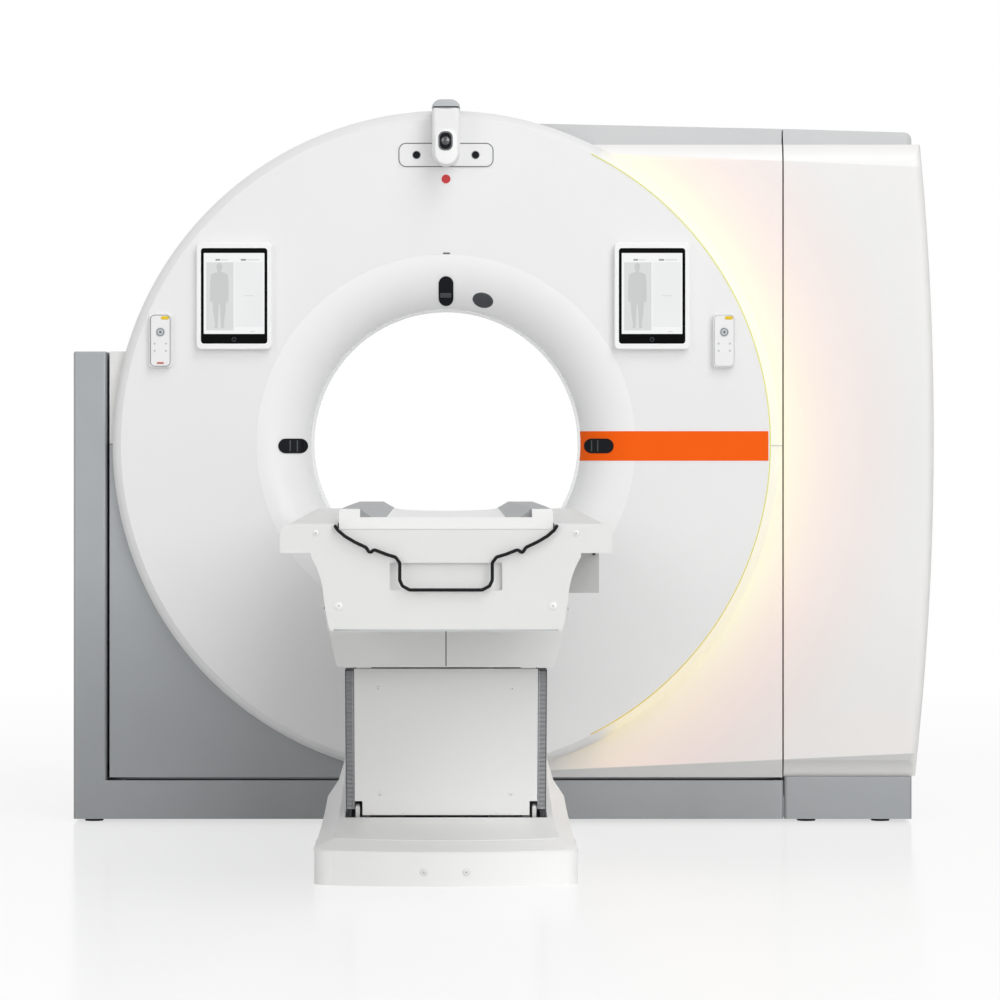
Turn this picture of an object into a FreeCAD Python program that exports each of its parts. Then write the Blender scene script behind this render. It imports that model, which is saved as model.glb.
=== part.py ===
"""Tilting-gantry CT scanner with its patient table.

Frame: millimetres, +X to the right of someone at the table's foot who looks at the gantry,
+Y from the table into the gantry, +Z up. The origin lies on the floor under the isocentre.
"""
import FreeCAD
import Part
import Sketcher
import math
import os

SIZES = {
    # the gantry's axes
    "plinth_gap": 10.0,
    "bore_radius": 350.0,
    "cover_wall": 5.0,
    # the round front cover
    "face_front": -250.0,
    "face_width": 488.0,
    "rim_width": 24.0,
    "rim_front": -218.0,
    "rim_round": 60.0,
    "funnel_width": 139.0,
    "funnel_round": 150.0,
    "groove_gap": 0.2,
    "liner_front": -172.0,
    "liner_rear": 80.0,
    "rear_funnel_flare": 250.0,
    "rear_funnel_wall": 6.0,
    "rear_funnel_edge": 8.0,
    # the covers that tilt with the disc
    "barrel_inset": 7.0,
    "barrel_wall": 8.0,
    "body_front": -190.0,
    "body_rear": 400.0,
    "rear_cover_front": 342.0,
    "sweep_margin": 24.0,
    "body_margin": 10.0,
    "body_gap": 8.0,
    "left_shoulder_rise": 240.0,
    "shoulder_drop": 78.0,
    "shoulder_start": 120.0,
    "shoulder_seam": 2.0,
    "left_panel_width": 120.0,
    "rim_gap": 1.5,
    "rim_lap": 4.0,
    "roof_rise": 58.0,
    "roof_seam_rise": 42.0,
    "roof_low_rise": 32.0,
    "roof_reach": 336.0,
    "roof_setback": 26.0,
    "roof_round": 22.0,
    "light_lap": 4.0,
    "light_proud": 1.0,
    "light_top_angle": 62.0,
    "light_bottom_angle": -64.0,
    "edge_round": 9.0,
    "bevel_height": 42.0,
    "bevel_depth": 12.0,
    # the fixed post, tower and plinth
    "post_gap": 7.0,
    "post_width": 87.0,
    "tower_gap": 4.0,
    "tower_top_width": 356.0,
    "tower_low_width": 343.0,
    "tower_bow_radius": 7960.0,
    "tower_base_width": 332.0,
    "tower_round": 28.0,
    "stand_rear": 440.0,
    "plinth_top": 108.0,
    "tower_base_step": 10.0,
    "floor_gap": 8.0,
    "stand_wall": 5.0,
    "foot_radius": 24.0,
    "anchor_reach": 41.0,
    "anchor_y": 125.0,
    "anchor_hole": 9.0,
    "beam_height": 55.0,
    "beam_width": 90.0,
    "beam_inset": 32.0,
    "foot_pad": 6.0,
    "foot_stud": 10.0,
    "column_depth": 200.0,
    "left_column_width": 56.0,
    "right_column_width": 110.0,
    "column_rise": 100.0,
    "bearing_outer": 92.0,
    "bearing_gap": 0.05,
    "gearbox_width": 100.0,
    "gearbox_wall": 30.0,
    "tilt_motor_radius": 46.0,
    "tilt_motor_length": 230.0,
    "tilt_motor_back": 37.0,
    "cabinet_width": 150.0,
    "cabinet_inset": 32.0,
    "cabinet_depth": 275.0,
    "cabinet_drop": 120.0,
    "trunnion_radius": 55.0,
    "trunnion_hole": 62.0,
    # the ring frame and the rotor
    "frame_front": 240.0,
    "frame_thickness": 24.0,
    "frame_clearance": 170.0,
    "bracket_height": 150.0,
    "bracket_width": 38.0,
    "bracket_gap": 17.0,
    "drum_clearance": 75.0,
    "drum_gap": 75.0,
    "drum_front": -140.0,
    "drum_plate": 20.0,
    "drum_rear": 150.0,
    "drum_wall": 12.0,
    "race_clearance": 191.0,
    "race_width": 14.0,
    "race_length": 75.0,
    "race_gap": 0.5,
    "bearing_width": 34.0,
    "bearing_start": 12.0,
    "slip_ring_inset": 80.0,
    "slip_ring_width": 60.0,
    "slip_ring_depth": 30.0,
    "tube_radius": 95.0,
    "tube_front": -120.0,
    "tube_inset": 170.0,
    "focus_drop": 50.0,
    "detector_gap": 130.0,
    "detector_depth": 90.0,
    "detector_half_angle": 26.0,
    "detector_half_width": 45.0,
    "collimator_half_length": 80.0,
    "collimator_half_width": 60.0,
    "collimator_gap": 95.0,
    "collimator_wall": 10.0,
    "blade_depth": 24.0,
    "blade_thickness": 8.0,
    "blade_rise": 120.0,
    "beam_half_width": 4.0,
    "blade_gap": 0.3,
    "generator_clearance": 130.0,
    "generator_inset": 80.0,
    "generator_half_height": 150.0,
    "generator_front": -100.0,
    # what is mounted on the face
    "pod_width": 72.0,
    "pod_height": 167.0,
    "pod_drop": 124.0,
    "pod_depth": 88.0,
    "pod_round": 12.0,
    "pod_corner": 24.0,
    "lens_half_width": 18.0,
    "lens_rise": 36.0,
    "lens_height": 49.0,
    "lens_round": 16.0,
    "lens_proud": 1.0,
    "plate_width": 246.0,
    "plate_proud": 2.0,
    "plate_round": 10.0,
    "sensor_radius": 9.5,
    "sensor_spacing": 152.0,
    "sensor_proud": 1.0,
    "lamp_radius": 11.5,
    "lamp_drop": 31.0,
    "plate_height": 64.0,
    "plate_step": 1.0,
    "window_width": 38.0,
    "window_length": 75.0,
    "window_inset": 45.0,
    "window_proud": 2.0,
    "window_drop": 5.0,
    "band_lap": 5.0,
    "band_edge": 7.0,
    "band_half_height": 38.0,
    "band_proud": 1.0,
    "tablet_width": 194.0,
    "tablet_height": 275.0,
    "tablet_depth": 24.0,
    "tablet_round": 13.0,
    "tablet_border": 11.5,
    "tablet_chin": 6.0,
    "tablet_edge": 3.0,
    "screen_round": 8.0,
    "screen_depth": 4.0,
    "screen_step": 0.5,
    "left_tablet_inset": 293.0,
    "right_tablet_inset": 308.0,
    "tablet_drop": 457.0,
    "remote_width": 57.0,
    "remote_height": 138.0,
    "remote_depth": 20.0,
    "remote_round": 9.0,
    "remote_edge": 3.0,
    "left_remote_inset": 103.0,
    "right_remote_inset": 122.0,
    "remote_rise": 266.0,
    "key_radius": 11.0,
    "key_above_middle": 22.0,
    "key_gap": 0.4,
    "key_proud": 2.0,
    "key_depth": 6.0,
    "key_travel": 1.5,
    "key_room": 0.5,
    "key_edge": 1.0,
    # the table's base and lift
    "base_front": -1731.0,
    "base_rear": -600.0,
    "base_half_width": 294.0,
    "base_bow": 34.0,
    "base_edge_height": 77.0,
    "base_top": 95.0,
    "base_top_front": -1652.0,
    "base_top_half_width": 253.0,
    "base_wall": 4.0,
    "base_round": 40.0,
    "hump_front": -1300.0,
    "hump_edge": 103.0,
    "hump_waist": 267.0,
    "hump_waist_height": 144.0,
    "hump_neck": 251.0,
    "hump_neck_height": 198.0,
    "hump_crest": 240.0,
    "hump_crest_height": 252.0,
    "motor_room_half_width": 230.0,
    "motor_room_top": 150.0,
    "well_front": -1160.0,
    "well_rear": -840.0,
    "well_half_width": 238.0,
    "base_plate": 12.0,
    "base_plate_half_width": 236.0,
    "base_plate_front": -1600.0,
    "base_plate_rear": -640.0,
    "table_anchor_middle": -1120.0,
    "table_anchor_x": 208.0,
    "table_anchor_y": 420.0,
    "table_anchor_hole": 7.0,
    "cheek_front": -1035.0,
    "cheek_rear": -850.0,
    "cheek_boss": 46.0,
    "link_boss": 28.0,
    "motor_half_width": 100.0,
    "motor_front": -970.0,
    "motor_rear": -870.0,
    "motor_top": 150.0,
    "lift_motor_radius": 46.0,
    "lift_motor_length": 66.0,
    "lift_motor_x": 50.0,
    "lift_motor_z": 85.0,
    "duct_half_width": 110.0,
    "duct_top": 60.0,
    "duct_slope": 20.0,
    "pivot_y": -1080.0,
    "pivot_z": 180.0,
    "arm_length": 500.0,
    "arm_lean_angle": 15.4,
    "link_offset_y": 70.0,
    "link_offset_z": 50.0,
    "pin_radius": 16.0,
    "pin_gap": 0.05,
    "arm_plate": 25.0,
    "arm_half_width": 175.0,
    "arm_half_depth": 34.0,
    "arm_box_depth": 50.0,
    "arm_box_low": 110.0,
    "arm_box_gap": 120.0,
    "link_half_depth": 24.0,
    "link_plate": 18.0,
    "link_half_width": 138.0,
    "link_tube_radius": 14.0,
    "open_pivot_gap": 2.0,
    "side_gap": 6.0,
    "cheek_plate": 18.0,
    "panel_half_width": 214.5,
    "panel_front": 92.0,
    "panel_back": 60.0,
    "panel_wall": 4.0,
    "panel_low": -51.0,
    "panel_gap": 188.0,
    "panel_notch_width": 18.0,
    "panel_notch_height": 35.0,
    "panel_rib": 10.0,
    "panel_rib_at": 100.0,
    "panel_rib_low": 120.0,
    "panel_rib_gap": 20.0,
    "gaiter_width": 20.5,
    "gaiter_low": -38.0,
    "gaiter_pleats": 31,
    "gaiter_top_gap": 9.0,
    "gaiter_depth": 6.0,
    "gaiter_setback": 6.0,
    # the carriage under the tabletop
    "trough_front": -2408.0,
    "trough_rear": -532.0,
    "trough_height": 152.0,
    "carriage_drop": 65.05,
    "trough_top_half_width": 276.0,
    "trough_waist": 250.0,
    "trough_half_width": 240.0,
    "trough_flare": 89.0,
    "trough_flare_round": 180.0,
    "trough_round": 9.0,
    "trough_wall": 4.0,
    "arm_slot_half_width": 215.0,
    "arm_slot_margin": 8.0,
    "arm_slot_rear": -700.0,
    "frame_rail": 18.0,
    "frame_deck": 9.0,
    "frame_rear_gap": 10.0,
    "guide_rail_height": 2.9,
    "guide_rail_width": 20.0,
    "guide_rail_at": 60.0,
    "wing_half_width": 340.0,
    "wing_rear": -440.0,
    "wing_inner": 222.0,
    "wing_seat": 276.0,
    "wing_step": 8.0,
    "wing_edge": 38.0,
    "wing_shoulder": 318.0,
    "wing_height": 60.0,
    "wing_round": 24.0,
    "cap_depth": 60.0,
    "cap_plate": 12.0,
    "lip_gap": 0.5,
    "recess_half_width": 115.0,
    "recess_rise": 84.0,
    "recess_height": 56.0,
    "recess_depth": 12.0,
    "recess_round": 3.0,
    "box_inner": 250.0,
    "box_outer": 329.0,
    "box_height": 97.0,
    "box_front": -1980.0,
    "box_rear": -1720.0,
    "housing_front": -1310.0,
    "housing_rear": -760.0,
    "housing_height": 134.0,
    "housing_top_half_width": 286.0,
    "housing_half_width": 252.0,
    # the tabletop
    "top_front": -2408.0,
    "top_rear": -405.0,
    "top_half_width": 219.0,
    "top_rail_width": 43.0,
    "top_edge_round": 6.0,
    "keel_round": 160.0,
    "top_rise": 98.0,
    "top_edge": 41.0,
    "keel_half_width": 102.0,
    "keel_gap": 3.0,
    "keel_front": -2390.0,
    "cradle_depth": 60.0,
    "lip_rear": -2384.0,
    "lip_drop": 17.0,
    "rail_rear_drop": 13.0,
    "pad_edge": 2.0,
    "pad_dip": 10.0,
    "pad_inset": 44.0,
    "pad_rear": -425.0,
    "handle_wire": 7.0,
    "handle_gap": 12.0,
    "handle_rise": 85.0,
}

# sizes that follow from others and a named gap, rise or inset
FOLLOWING = {
    "face_radius": "bore_radius + face_width",
    "funnel_radius": "bore_radius + funnel_width",
    "rear_funnel_radius": "bore_radius + rear_funnel_flare",
    "frame_bore": "bore_radius + frame_clearance",
    "drum_inner": "bore_radius + drum_clearance",
    "race_radius": "bore_radius + race_clearance",
    "generator_inner": "bore_radius + generator_clearance",
    "rim_radius": "face_radius + rim_width",
    "barrel_radius": "rim_radius - barrel_inset",
    "tilt_sweep_radius": "rim_radius + sweep_margin",
    "body_half_width": "rim_radius + body_margin",
    "axis_height": "plinth_top + plinth_gap + rim_radius",
    "body_bottom": "plinth_top + body_gap",
    "left_shoulder_top": "axis_height + left_shoulder_rise",
    "right_shoulder_top": "axis_height + barrel_radius - shoulder_drop",
    "roof_high": "right_shoulder_top + roof_rise",
    "roof_seam": "right_shoulder_top + roof_seam_rise",
    "roof_low": "right_shoulder_top + roof_low_rise",
    "post_inner": "0 - body_half_width - post_gap",
    "post_outer": "post_inner - post_width",
    "tower_inner": "body_half_width + tower_gap",
    "roof_right": "tower_inner + roof_reach",
    "beam_reach": "tower_base_width - beam_inset",
    "cabinet_outer": "tower_base_width - cabinet_inset",
    "cabinet_inner": "cabinet_outer - cabinet_width",
    "tower_base_top": "plinth_top + tower_base_step",
    "anchor_x": "body_half_width + anchor_reach",
    "column_top": "axis_height + column_rise",
    "cabinet_top": "axis_height - cabinet_drop",
    "bracket_outer": "barrel_radius - bracket_gap",
    "bracket_inner": "bracket_outer - bracket_width",
    "drum_outer": "barrel_radius - drum_gap",
    "slip_ring_radius": "drum_outer - slip_ring_inset",
    "generator_outer": "drum_outer - generator_inset",
    "tube_height": "drum_outer - tube_inset",
    "focus_height": "tube_height - focus_drop",
    "blade_height": "bore_radius + blade_rise",
    "collimator_bottom": "bore_radius + collimator_gap",
    "detector_radius": "focus_height + bore_radius + detector_gap",
    "pod_bottom": "axis_height + face_radius - pod_drop",
    "pod_top": "pod_bottom + pod_height",
    "lens_bottom": "pod_bottom + lens_rise",
    "lens_top": "lens_bottom + lens_height",
    "plate_bottom": "pod_bottom - plate_step",
    "plate_top": "plate_bottom + plate_height",
    "lamp_height": "pod_bottom - lamp_drop",
    "window_middle": "bore_radius + window_inset",
    "band_start": "bore_radius - band_lap",
    "band_end": "face_radius - band_edge",
    "left_tablet_x": "left_tablet_inset - face_radius",
    "right_tablet_x": "face_radius - right_tablet_inset",
    "tablet_z": "axis_height + face_radius - tablet_drop",
    "left_remote_x": "left_remote_inset - face_radius",
    "right_remote_x": "face_radius - right_remote_inset",
    "remote_z": "axis_height + remote_rise",
    "arm_box_high": "arm_length - arm_box_gap",
    "panel_high": "arm_length - panel_gap",
    "panel_rib_high": "panel_high - panel_rib_gap",
    "gaiter_pitch": "(panel_high - gaiter_top_gap - gaiter_low) / gaiter_pleats",
    "trough_bottom": "pivot_z + arm_length * cos(arm_lean_angle) - carriage_drop",
    "trough_top": "trough_bottom + trough_height",
    "wing_bottom": "trough_top + wing_step",
    "wing_edge_top": "wing_bottom + wing_edge",
    "wing_top": "wing_bottom + wing_height",
    "recess_bottom": "trough_bottom + recess_rise",
    "recess_top": "recess_bottom + recess_height",
    "box_bottom": "wing_bottom - box_height",
    "housing_top": "trough_bottom",
    "housing_bottom": "trough_bottom - housing_height",
    "top_height": "trough_top + top_rise",
    "top_edge_bottom": "top_height - top_edge",
    "keel_bottom": "trough_top + keel_gap",
    "lip_top": "top_height - lip_drop",
    "rail_rear_top": "top_height - rail_rear_drop",
    "handle_bottom": "trough_bottom + handle_rise",
}

doc = FreeCAD.newDocument("ct_scanner")
sheet = doc.addObject("Spreadsheet::Sheet", "Sizes")
cells = [(alias, str(amount)) for alias, amount in SIZES.items()]
cells += [(alias, "=" + formula) for alias, formula in FOLLOWING.items()]
for row, (alias, content) in enumerate(cells, start=1):
    sheet.set(f"A{row}", alias.replace("_", " "))
    sheet.set(f"B{row}", content)
    sheet.setAlias(f"B{row}", alias)
doc.recompute()


class Size:
    """A length or an angle, with the expression over the sheet's cells that gives it."""

    def __init__(self, value, text):
        self.value = float(value)
        self.text = text

    def __add__(self, other):
        other = as_size(other)
        return Size(self.value + other.value, f"({self.text} + {other.text})")

    def __radd__(self, other):
        return as_size(other) + self

    def __sub__(self, other):
        other = as_size(other)
        return Size(self.value - other.value, f"({self.text} - {other.text})")

    def __rsub__(self, other):
        return as_size(other) - self

    def __mul__(self, other):
        other = as_size(other)
        return Size(self.value * other.value, f"({self.text} * {other.text})")

    def __rmul__(self, other):
        return as_size(other) * self

    def __truediv__(self, other):
        other = as_size(other)
        return Size(self.value / other.value, f"({self.text} / {other.text})")

    def __neg__(self):
        return Size(-self.value, f"(0 - {self.text})")


OVERSHOOT = 1


def as_size(amount):
    """A plain number as a Size."""
    if isinstance(amount, Size):
        return amount
    return Size(amount, f"({amount})" if amount < 0 else str(amount))


def size(alias):
    """The Size in the sheet's cell of that alias."""
    return Size(sheet.get(alias), f"Sizes.{alias}")


def sine(angle):
    """The sine of an angle in degrees."""
    return Size(math.sin(math.radians(angle.value)), f"sin({angle.text})")


def cosine(angle):
    """The cosine of an angle in degrees."""
    return Size(math.cos(math.radians(angle.value)), f"cos({angle.text})")


def side_of(hypotenuse, other_side):
    """The third side of a right-angled triangle."""
    value = math.sqrt(hypotenuse.value ** 2 - other_side.value ** 2)
    return Size(value, f"sqrt({hypotenuse.text} * {hypotenuse.text} - {other_side.text} * {other_side.text})")


def bind(obj, prop, amount):
    """Ties a property to the sheet, or sets it where the amount is a plain number."""
    amount = as_size(amount)
    obj.setExpression(prop, amount.text)


def place(obj, x=0, y=0, z=0, axis=None, angle=0):
    """Puts an object at x, y, z, turned about an axis by an angle in degrees."""
    if axis is not None:
        obj.Placement = FreeCAD.Placement(
            FreeCAD.Vector(0, 0, 0), FreeCAD.Rotation(FreeCAD.Vector(*axis), as_size(angle).value)
        )
        if isinstance(angle, Size):
            bind(obj, ".Placement.Rotation.Angle", angle)
    for letter, amount in zip("xyz", (x, y, z)):
        bind(obj, f".Placement.Base.{letter}", amount)


def past(limits):
    """A pair of limits carried a little further both ways, for a tool that must cut right through."""
    return limits[0] - OVERSHOOT, limits[1] + OVERSHOOT


# Part solids ---------------------------------------------------------------------------------


def block(name, x, y, z):
    """A box from three pairs of limits."""
    obj = doc.addObject("Part::Box", name)
    for prop, (low, high) in zip(("Length", "Width", "Height"), (x, y, z)):
        bind(obj, prop, as_size(high) - low)
    place(obj, x[0], y[0], z[0])
    return obj


TURNS = {"x": ((0, 1, 0), 90), "y": ((1, 0, 0), -90), "z": ((0, 0, 1), 0)}


def rod(name, radius, span, along, **centre):
    """A cylinder whose axis runs over a span of x, y or z, through the other two of the centre."""
    obj = doc.addObject("Part::Cylinder", name)
    bind(obj, "Radius", radius)
    bind(obj, "Height", as_size(span[1]) - span[0])
    axis, angle = TURNS[along]
    place(obj, axis=axis, angle=angle, **{**centre, along: span[0]})
    return obj


def fuse(name, parts):
    """Several solids joined."""
    obj = doc.addObject("Part::MultiFuse", name)
    obj.Shapes = parts
    obj.Refine = True
    return obj


def cut(name, base, tools):
    """A solid with others taken out of it."""
    obj = doc.addObject("Part::Cut", name)
    obj.Base = base
    obj.Tool = tools[0] if len(tools) == 1 else fuse(name + "_tools", tools)
    obj.Refine = True
    return obj


def common(name, parts):
    """What several solids share."""
    obj = doc.addObject("Part::MultiCommon", name)
    obj.Shapes = parts
    obj.Refine = True
    return obj


# bodies drawn as sketches --------------------------------------------------------------------


def new_body(name, **where):
    """An empty body."""
    body = doc.addObject("PartDesign::Body", name)
    place(body, **where)
    return body


def rectangle(x, y, radius=None):
    """A rectangle's outline from two pairs of limits, with round corners where a radius is given."""
    (x0, x1), (y0, y1) = x, y
    if radius is None:
        return [(x0, y0), (x1, y0), (x1, y1), (x0, y1)]
    return [
        (x0 + radius, y0), (x1 - radius, y0, radius, 1),
        (x1, y0 + radius), (x1, y1 - radius, radius, 1),
        (x1 - radius, y1), (x0 + radius, y1, radius, 1),
        (x0, y1 - radius), (x0, y0 + radius, radius, 1),
    ]


def stadium(low, high, radius, across=0):
    """An upright slot's outline: two half circles centred at the heights low and high."""
    left, right = across - radius, across + radius
    return [
        (right, low), (right, high, radius, 1), (across, high + radius, radius, 1),
        (left, high), (left, low, radius, 1), (across, low - radius, radius, 1),
    ]


def circle(u, v, radius):
    """A circle's outline: one point with its radius."""
    return [(u, v, radius)]


def arc_between(start, end, radius, side):
    """The arc from start to end, with its centre on the left where side is 1, else on the right."""
    middle = ((start[0] + end[0]) / 2, (start[1] + end[1]) / 2)
    run, rise = end[0] - start[0], end[1] - start[1]
    chord = math.hypot(run, rise)
    reach = math.sqrt(max(radius ** 2 - chord ** 2 / 4, 0)) * side
    centre = (middle[0] - rise / chord * reach, middle[1] + run / chord * reach)
    first, last = (start, end) if side > 0 else (end, start)
    low = math.atan2(first[1] - centre[1], first[0] - centre[0])
    high = math.atan2(last[1] - centre[1], last[0] - centre[0])
    if high < low:
        high += 2 * math.pi
    ring = Part.Circle(FreeCAD.Vector(*centre, 0), FreeCAD.Vector(0, 0, 1), radius)
    return Part.ArcOfCircle(ring, low, high)


def fix(sketch, kind, *what):
    """Adds one constraint, its last entry bound to the sheet."""
    amount = as_size(what[-1])
    number = sketch.addConstraint(Sketcher.Constraint(kind, *what[:-1], amount.value))
    sketch.setExpression(f"Constraints[{number}]", amount.text)


def draw(sketch, outline):
    """Draws a closed outline. A point is (u, v), or (u, v, radius, side) where an arc leaves it."""
    first = sketch.GeometryCount
    if len(outline) == 1:
        u, v, radius = (as_size(n) for n in outline[0])
        ring = Part.Circle(FreeCAD.Vector(u.value, v.value, 0), FreeCAD.Vector(0, 0, 1), radius.value)
        sketch.addGeometry(ring)
        fix(sketch, "DistanceX", first, 3, u)
        fix(sketch, "DistanceY", first, 3, v)
        fix(sketch, "Radius", first, radius)
        return
    ends = []
    spots = [(as_size(p[0]).value, as_size(p[1]).value) for p in outline]
    for n, point in enumerate(outline):
        start, end = spots[n], spots[(n + 1) % len(outline)]
        if len(point) == 2:
            line = Part.LineSegment(FreeCAD.Vector(*start, 0), FreeCAD.Vector(*end, 0))
            sketch.addGeometry(line)
            ends.append((1, 2))
        else:
            sketch.addGeometry(arc_between(start, end, as_size(point[2]).value, point[3]))
            ends.append((1, 2) if point[3] > 0 else (2, 1))
    for n in range(len(outline)):
        after = (n + 1) % len(outline)
        sketch.addConstraint(
            Sketcher.Constraint("Coincident", first + n, ends[n][1], first + after, ends[after][0])
        )
    for n, point in enumerate(outline):
        fix(sketch, "DistanceX", first + n, ends[n][0], point[0])
        fix(sketch, "DistanceY", first + n, ends[n][0], point[1])
        if len(point) > 2:
            fix(sketch, "Radius", first + n, point[2])


NORMALS = {"XY": 1, "YZ": 1, "XZ": -1}


def new_sketch(body, plane, offset, outlines):
    """A sketch with its outlines, on one of the body's planes moved along its axis by an offset."""
    sketch = body.newObject("Sketcher::SketchObject", body.Label + "_sketch")
    roles = {feature.Role: feature for feature in body.Origin.OriginFeatures}
    sketch.AttachmentSupport = [(roles[plane + "_Plane"], "")]
    sketch.MapMode = "FlatFace"
    bind(sketch, ".AttachmentOffset.Base.z", as_size(offset) * NORMALS[plane])
    for outline in outlines:
        draw(sketch, outline)
    return sketch


def pad(body, plane, outlines, start, end):
    """Adds the outlines carried from start to end along the plane's axis."""
    feature = body.newObject("PartDesign::Pad", body.Label + "_pad")
    feature.Profile = new_sketch(body, plane, start, outlines)
    bind(feature, "Length", as_size(end) - start)
    feature.Reversed = NORMALS[plane] < 0
    body.Tip = feature
    return feature


def pocket(body, plane, outlines, start, end):
    """Takes away the outlines carried from start to end along the plane's axis."""
    feature = body.newObject("PartDesign::Pocket", body.Label + "_pocket")
    feature.Profile = new_sketch(body, plane, start, outlines)
    bind(feature, "Length", as_size(end) - start)
    feature.Reversed = NORMALS[plane] > 0
    body.Tip = feature
    return feature


def revolve(body, outlines, groove=False):
    """Turns outlines of (y, radius) points right round the body's Y axis."""
    kind = "PartDesign::Groove" if groove else "PartDesign::Revolution"
    sketch = new_sketch(body, "YZ", 0, outlines)
    feature = body.newObject(kind, body.Label + "_turned")
    feature.Profile = sketch
    feature.ReferenceAxis = (sketch, ["H_Axis"])
    feature.Angle = 360
    body.Tip = feature
    return feature


def loft(body, plane, sections, ruled=True):
    """Adds a loft through (offset, outline) sections."""
    sketches = [new_sketch(body, plane, offset, [outline]) for offset, outline in sections]
    feature = body.newObject("PartDesign::AdditiveLoft", body.Label + "_loft")
    feature.Profile = sketches[0]
    feature.Sections = sketches[1:]
    feature.Ruled = ruled
    body.Tip = feature
    return feature


def dress(body, kind, chosen, **sizes):
    """Rounds or bevels the edges of the body's last feature that the function chosen picks."""
    doc.recompute()
    base = body.Tip
    edges = [f"Edge{n}" for n, edge in enumerate(base.Shape.Edges, start=1) if chosen(edge)]
    feature = body.newObject(f"PartDesign::{kind}", f"{body.Label}_{kind.lower()}")
    feature.Base = (base, edges)
    for prop, amount in sizes.items():
        bind(feature, prop, amount)
    body.Tip = feature
    return feature


def edge_at(**wanted):
    """Picks edges whose whole length lies at the given x, y or z, within a hundredth."""
    def chosen(edge):
        box = edge.BoundBox
        limits = {"x": (box.XMin, box.XMax), "y": (box.YMin, box.YMax), "z": (box.ZMin, box.ZMax)}
        return all(
            abs(limit - as_size(amount).value) < 0.01
            for letter, amount in wanted.items()
            for limit in limits[letter]
        )
    return chosen


# the sizes, by name --------------------------------------------------------------------------

axis_height = size("axis_height")
wall = size("cover_wall")
face_front = size("face_front")
barrel = size("barrel_radius")
barrel_inner = barrel - size("barrel_wall")
body_front = size("body_front")
body_rear = size("body_rear")
half_body = size("body_half_width")
stand_rear = size("stand_rear")
post_inner = size("post_inner")
post_outer = size("post_outer")
tower_inner = size("tower_inner")
plinth_top = size("plinth_top")
floor_gap = size("floor_gap")
stand_wall = size("stand_wall")
beam_top = floor_gap + stand_wall + size("beam_height")
trunnion = size("trunnion_radius")
trunnion_hole = size("trunnion_hole")
sweep = size("tilt_sweep_radius")
left_column = (post_outer + stand_wall, post_outer + stand_wall + size("left_column_width"))
right_column_start = tower_inner + stand_wall + size("bevel_depth")
right_column = (right_column_start, right_column_start + size("right_column_width"))
half_column = size("column_depth") / 2
half_beam = size("beam_width") / 2
beam_bottom = floor_gap + stand_wall
beam_ends = (left_column[0], tower_inner + size("beam_reach"))
cross_beams = (beam_ends[0] + half_beam, right_column[0] + half_beam, beam_ends[1] - half_beam)
front_beam_y = body_front + stand_wall + half_beam
rear_beam_y = stand_rear - stand_wall - half_beam
gearbox = (right_column[1], right_column[1] + size("gearbox_width"))
gearbox_bore_end = gearbox[1] - size("gearbox_wall")
half_gearbox = size("bearing_outer")


# the fixed stand -----------------------------------------------------------------------------


def drilled(name, base, kind, middle, z):
    """A piece with the four upright holes of a floor anchor pattern about a middle."""
    across, along, radius = size(kind + "_x"), size(kind + "_y"), size(kind + "_hole")
    holes = [
        rod(f"{kind}_hole_{n}", radius, z, "z", x=middle[0] + side * across, y=middle[1] + end * along)
        for n, (side, end) in enumerate(((-1, -1), (1, -1), (-1, 1), (1, 1)))
    ]
    return cut(name, base, holes)


def base_frame():
    """Two welded beams from post to tower, with cross beams and a bored column for each tilt bearing."""
    beams = [
        block(f"long_beam_{n}", beam_ends, (y - half_beam, y + half_beam), (beam_bottom, beam_top))
        for n, y in enumerate((front_beam_y, rear_beam_y))
    ]
    beams += [
        block(f"cross_beam_{n}", (x - half_beam, x + half_beam), (front_beam_y, rear_beam_y),
              (beam_bottom, beam_top))
        for n, x in enumerate(cross_beams)
    ]
    columns = [column("left_column", left_column), column("right_column", right_column)]
    return drilled("base_frame", fuse("welded_frame", beams + columns), "anchor", (0, 0),
                   past((beam_bottom, beam_top)))


def levelling_feet():
    """Six screwed feet: a round pad with a stud up to the beam."""
    feet = []
    spots = [(x, y) for x in cross_beams for y in (front_beam_y, rear_beam_y)]
    for n, (x, y) in enumerate(spots):
        feet += [
            rod(f"foot_pad_{n}", size("foot_radius"), (0, size("foot_pad")), "z", x=x, y=y),
            rod(f"foot_stud_{n}", size("foot_stud"), (size("foot_pad"), beam_bottom), "z", x=x, y=y),
        ]
    return fuse("levelling_feet", feet)


def plinth_cover():
    """The grey skirt under the tilting covers, an upright sheet all round but on the tower's side."""
    body = new_body("plinth_cover")
    outer = rectangle((post_outer, tower_inner), (body_front, stand_rear), size("edge_round"))
    pad(body, "XY", [outer], floor_gap, plinth_top)
    inner = rectangle(
        (post_outer + stand_wall, tower_inner + stand_wall),
        (body_front + stand_wall, stand_rear - stand_wall),
    )
    pocket(body, "XY", [inner], *past((floor_gap, plinth_top)))
    return body


def left_post_cover():
    """The short post's cover, hollow, with the hole that the trunnion comes through."""
    body = new_body("left_post_cover")
    top = size("left_shoulder_top")
    pad(body, "XY", [rectangle((post_outer, post_inner), (body_front, stand_rear), size("edge_round"))],
        plinth_top, top)
    inner = rectangle(
        (post_outer + stand_wall, post_inner - stand_wall), (body_front + stand_wall, stand_rear - stand_wall)
    )
    pocket(body, "XY", [inner], plinth_top - OVERSHOOT, top - stand_wall)
    pocket(body, "YZ", [circle(0, axis_height, trunnion_hole)], *past((post_inner - stand_wall, post_inner)))
    dress(body, "Fillet", edge_at(z=top), Radius=size("edge_round") / 2)
    return body


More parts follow.
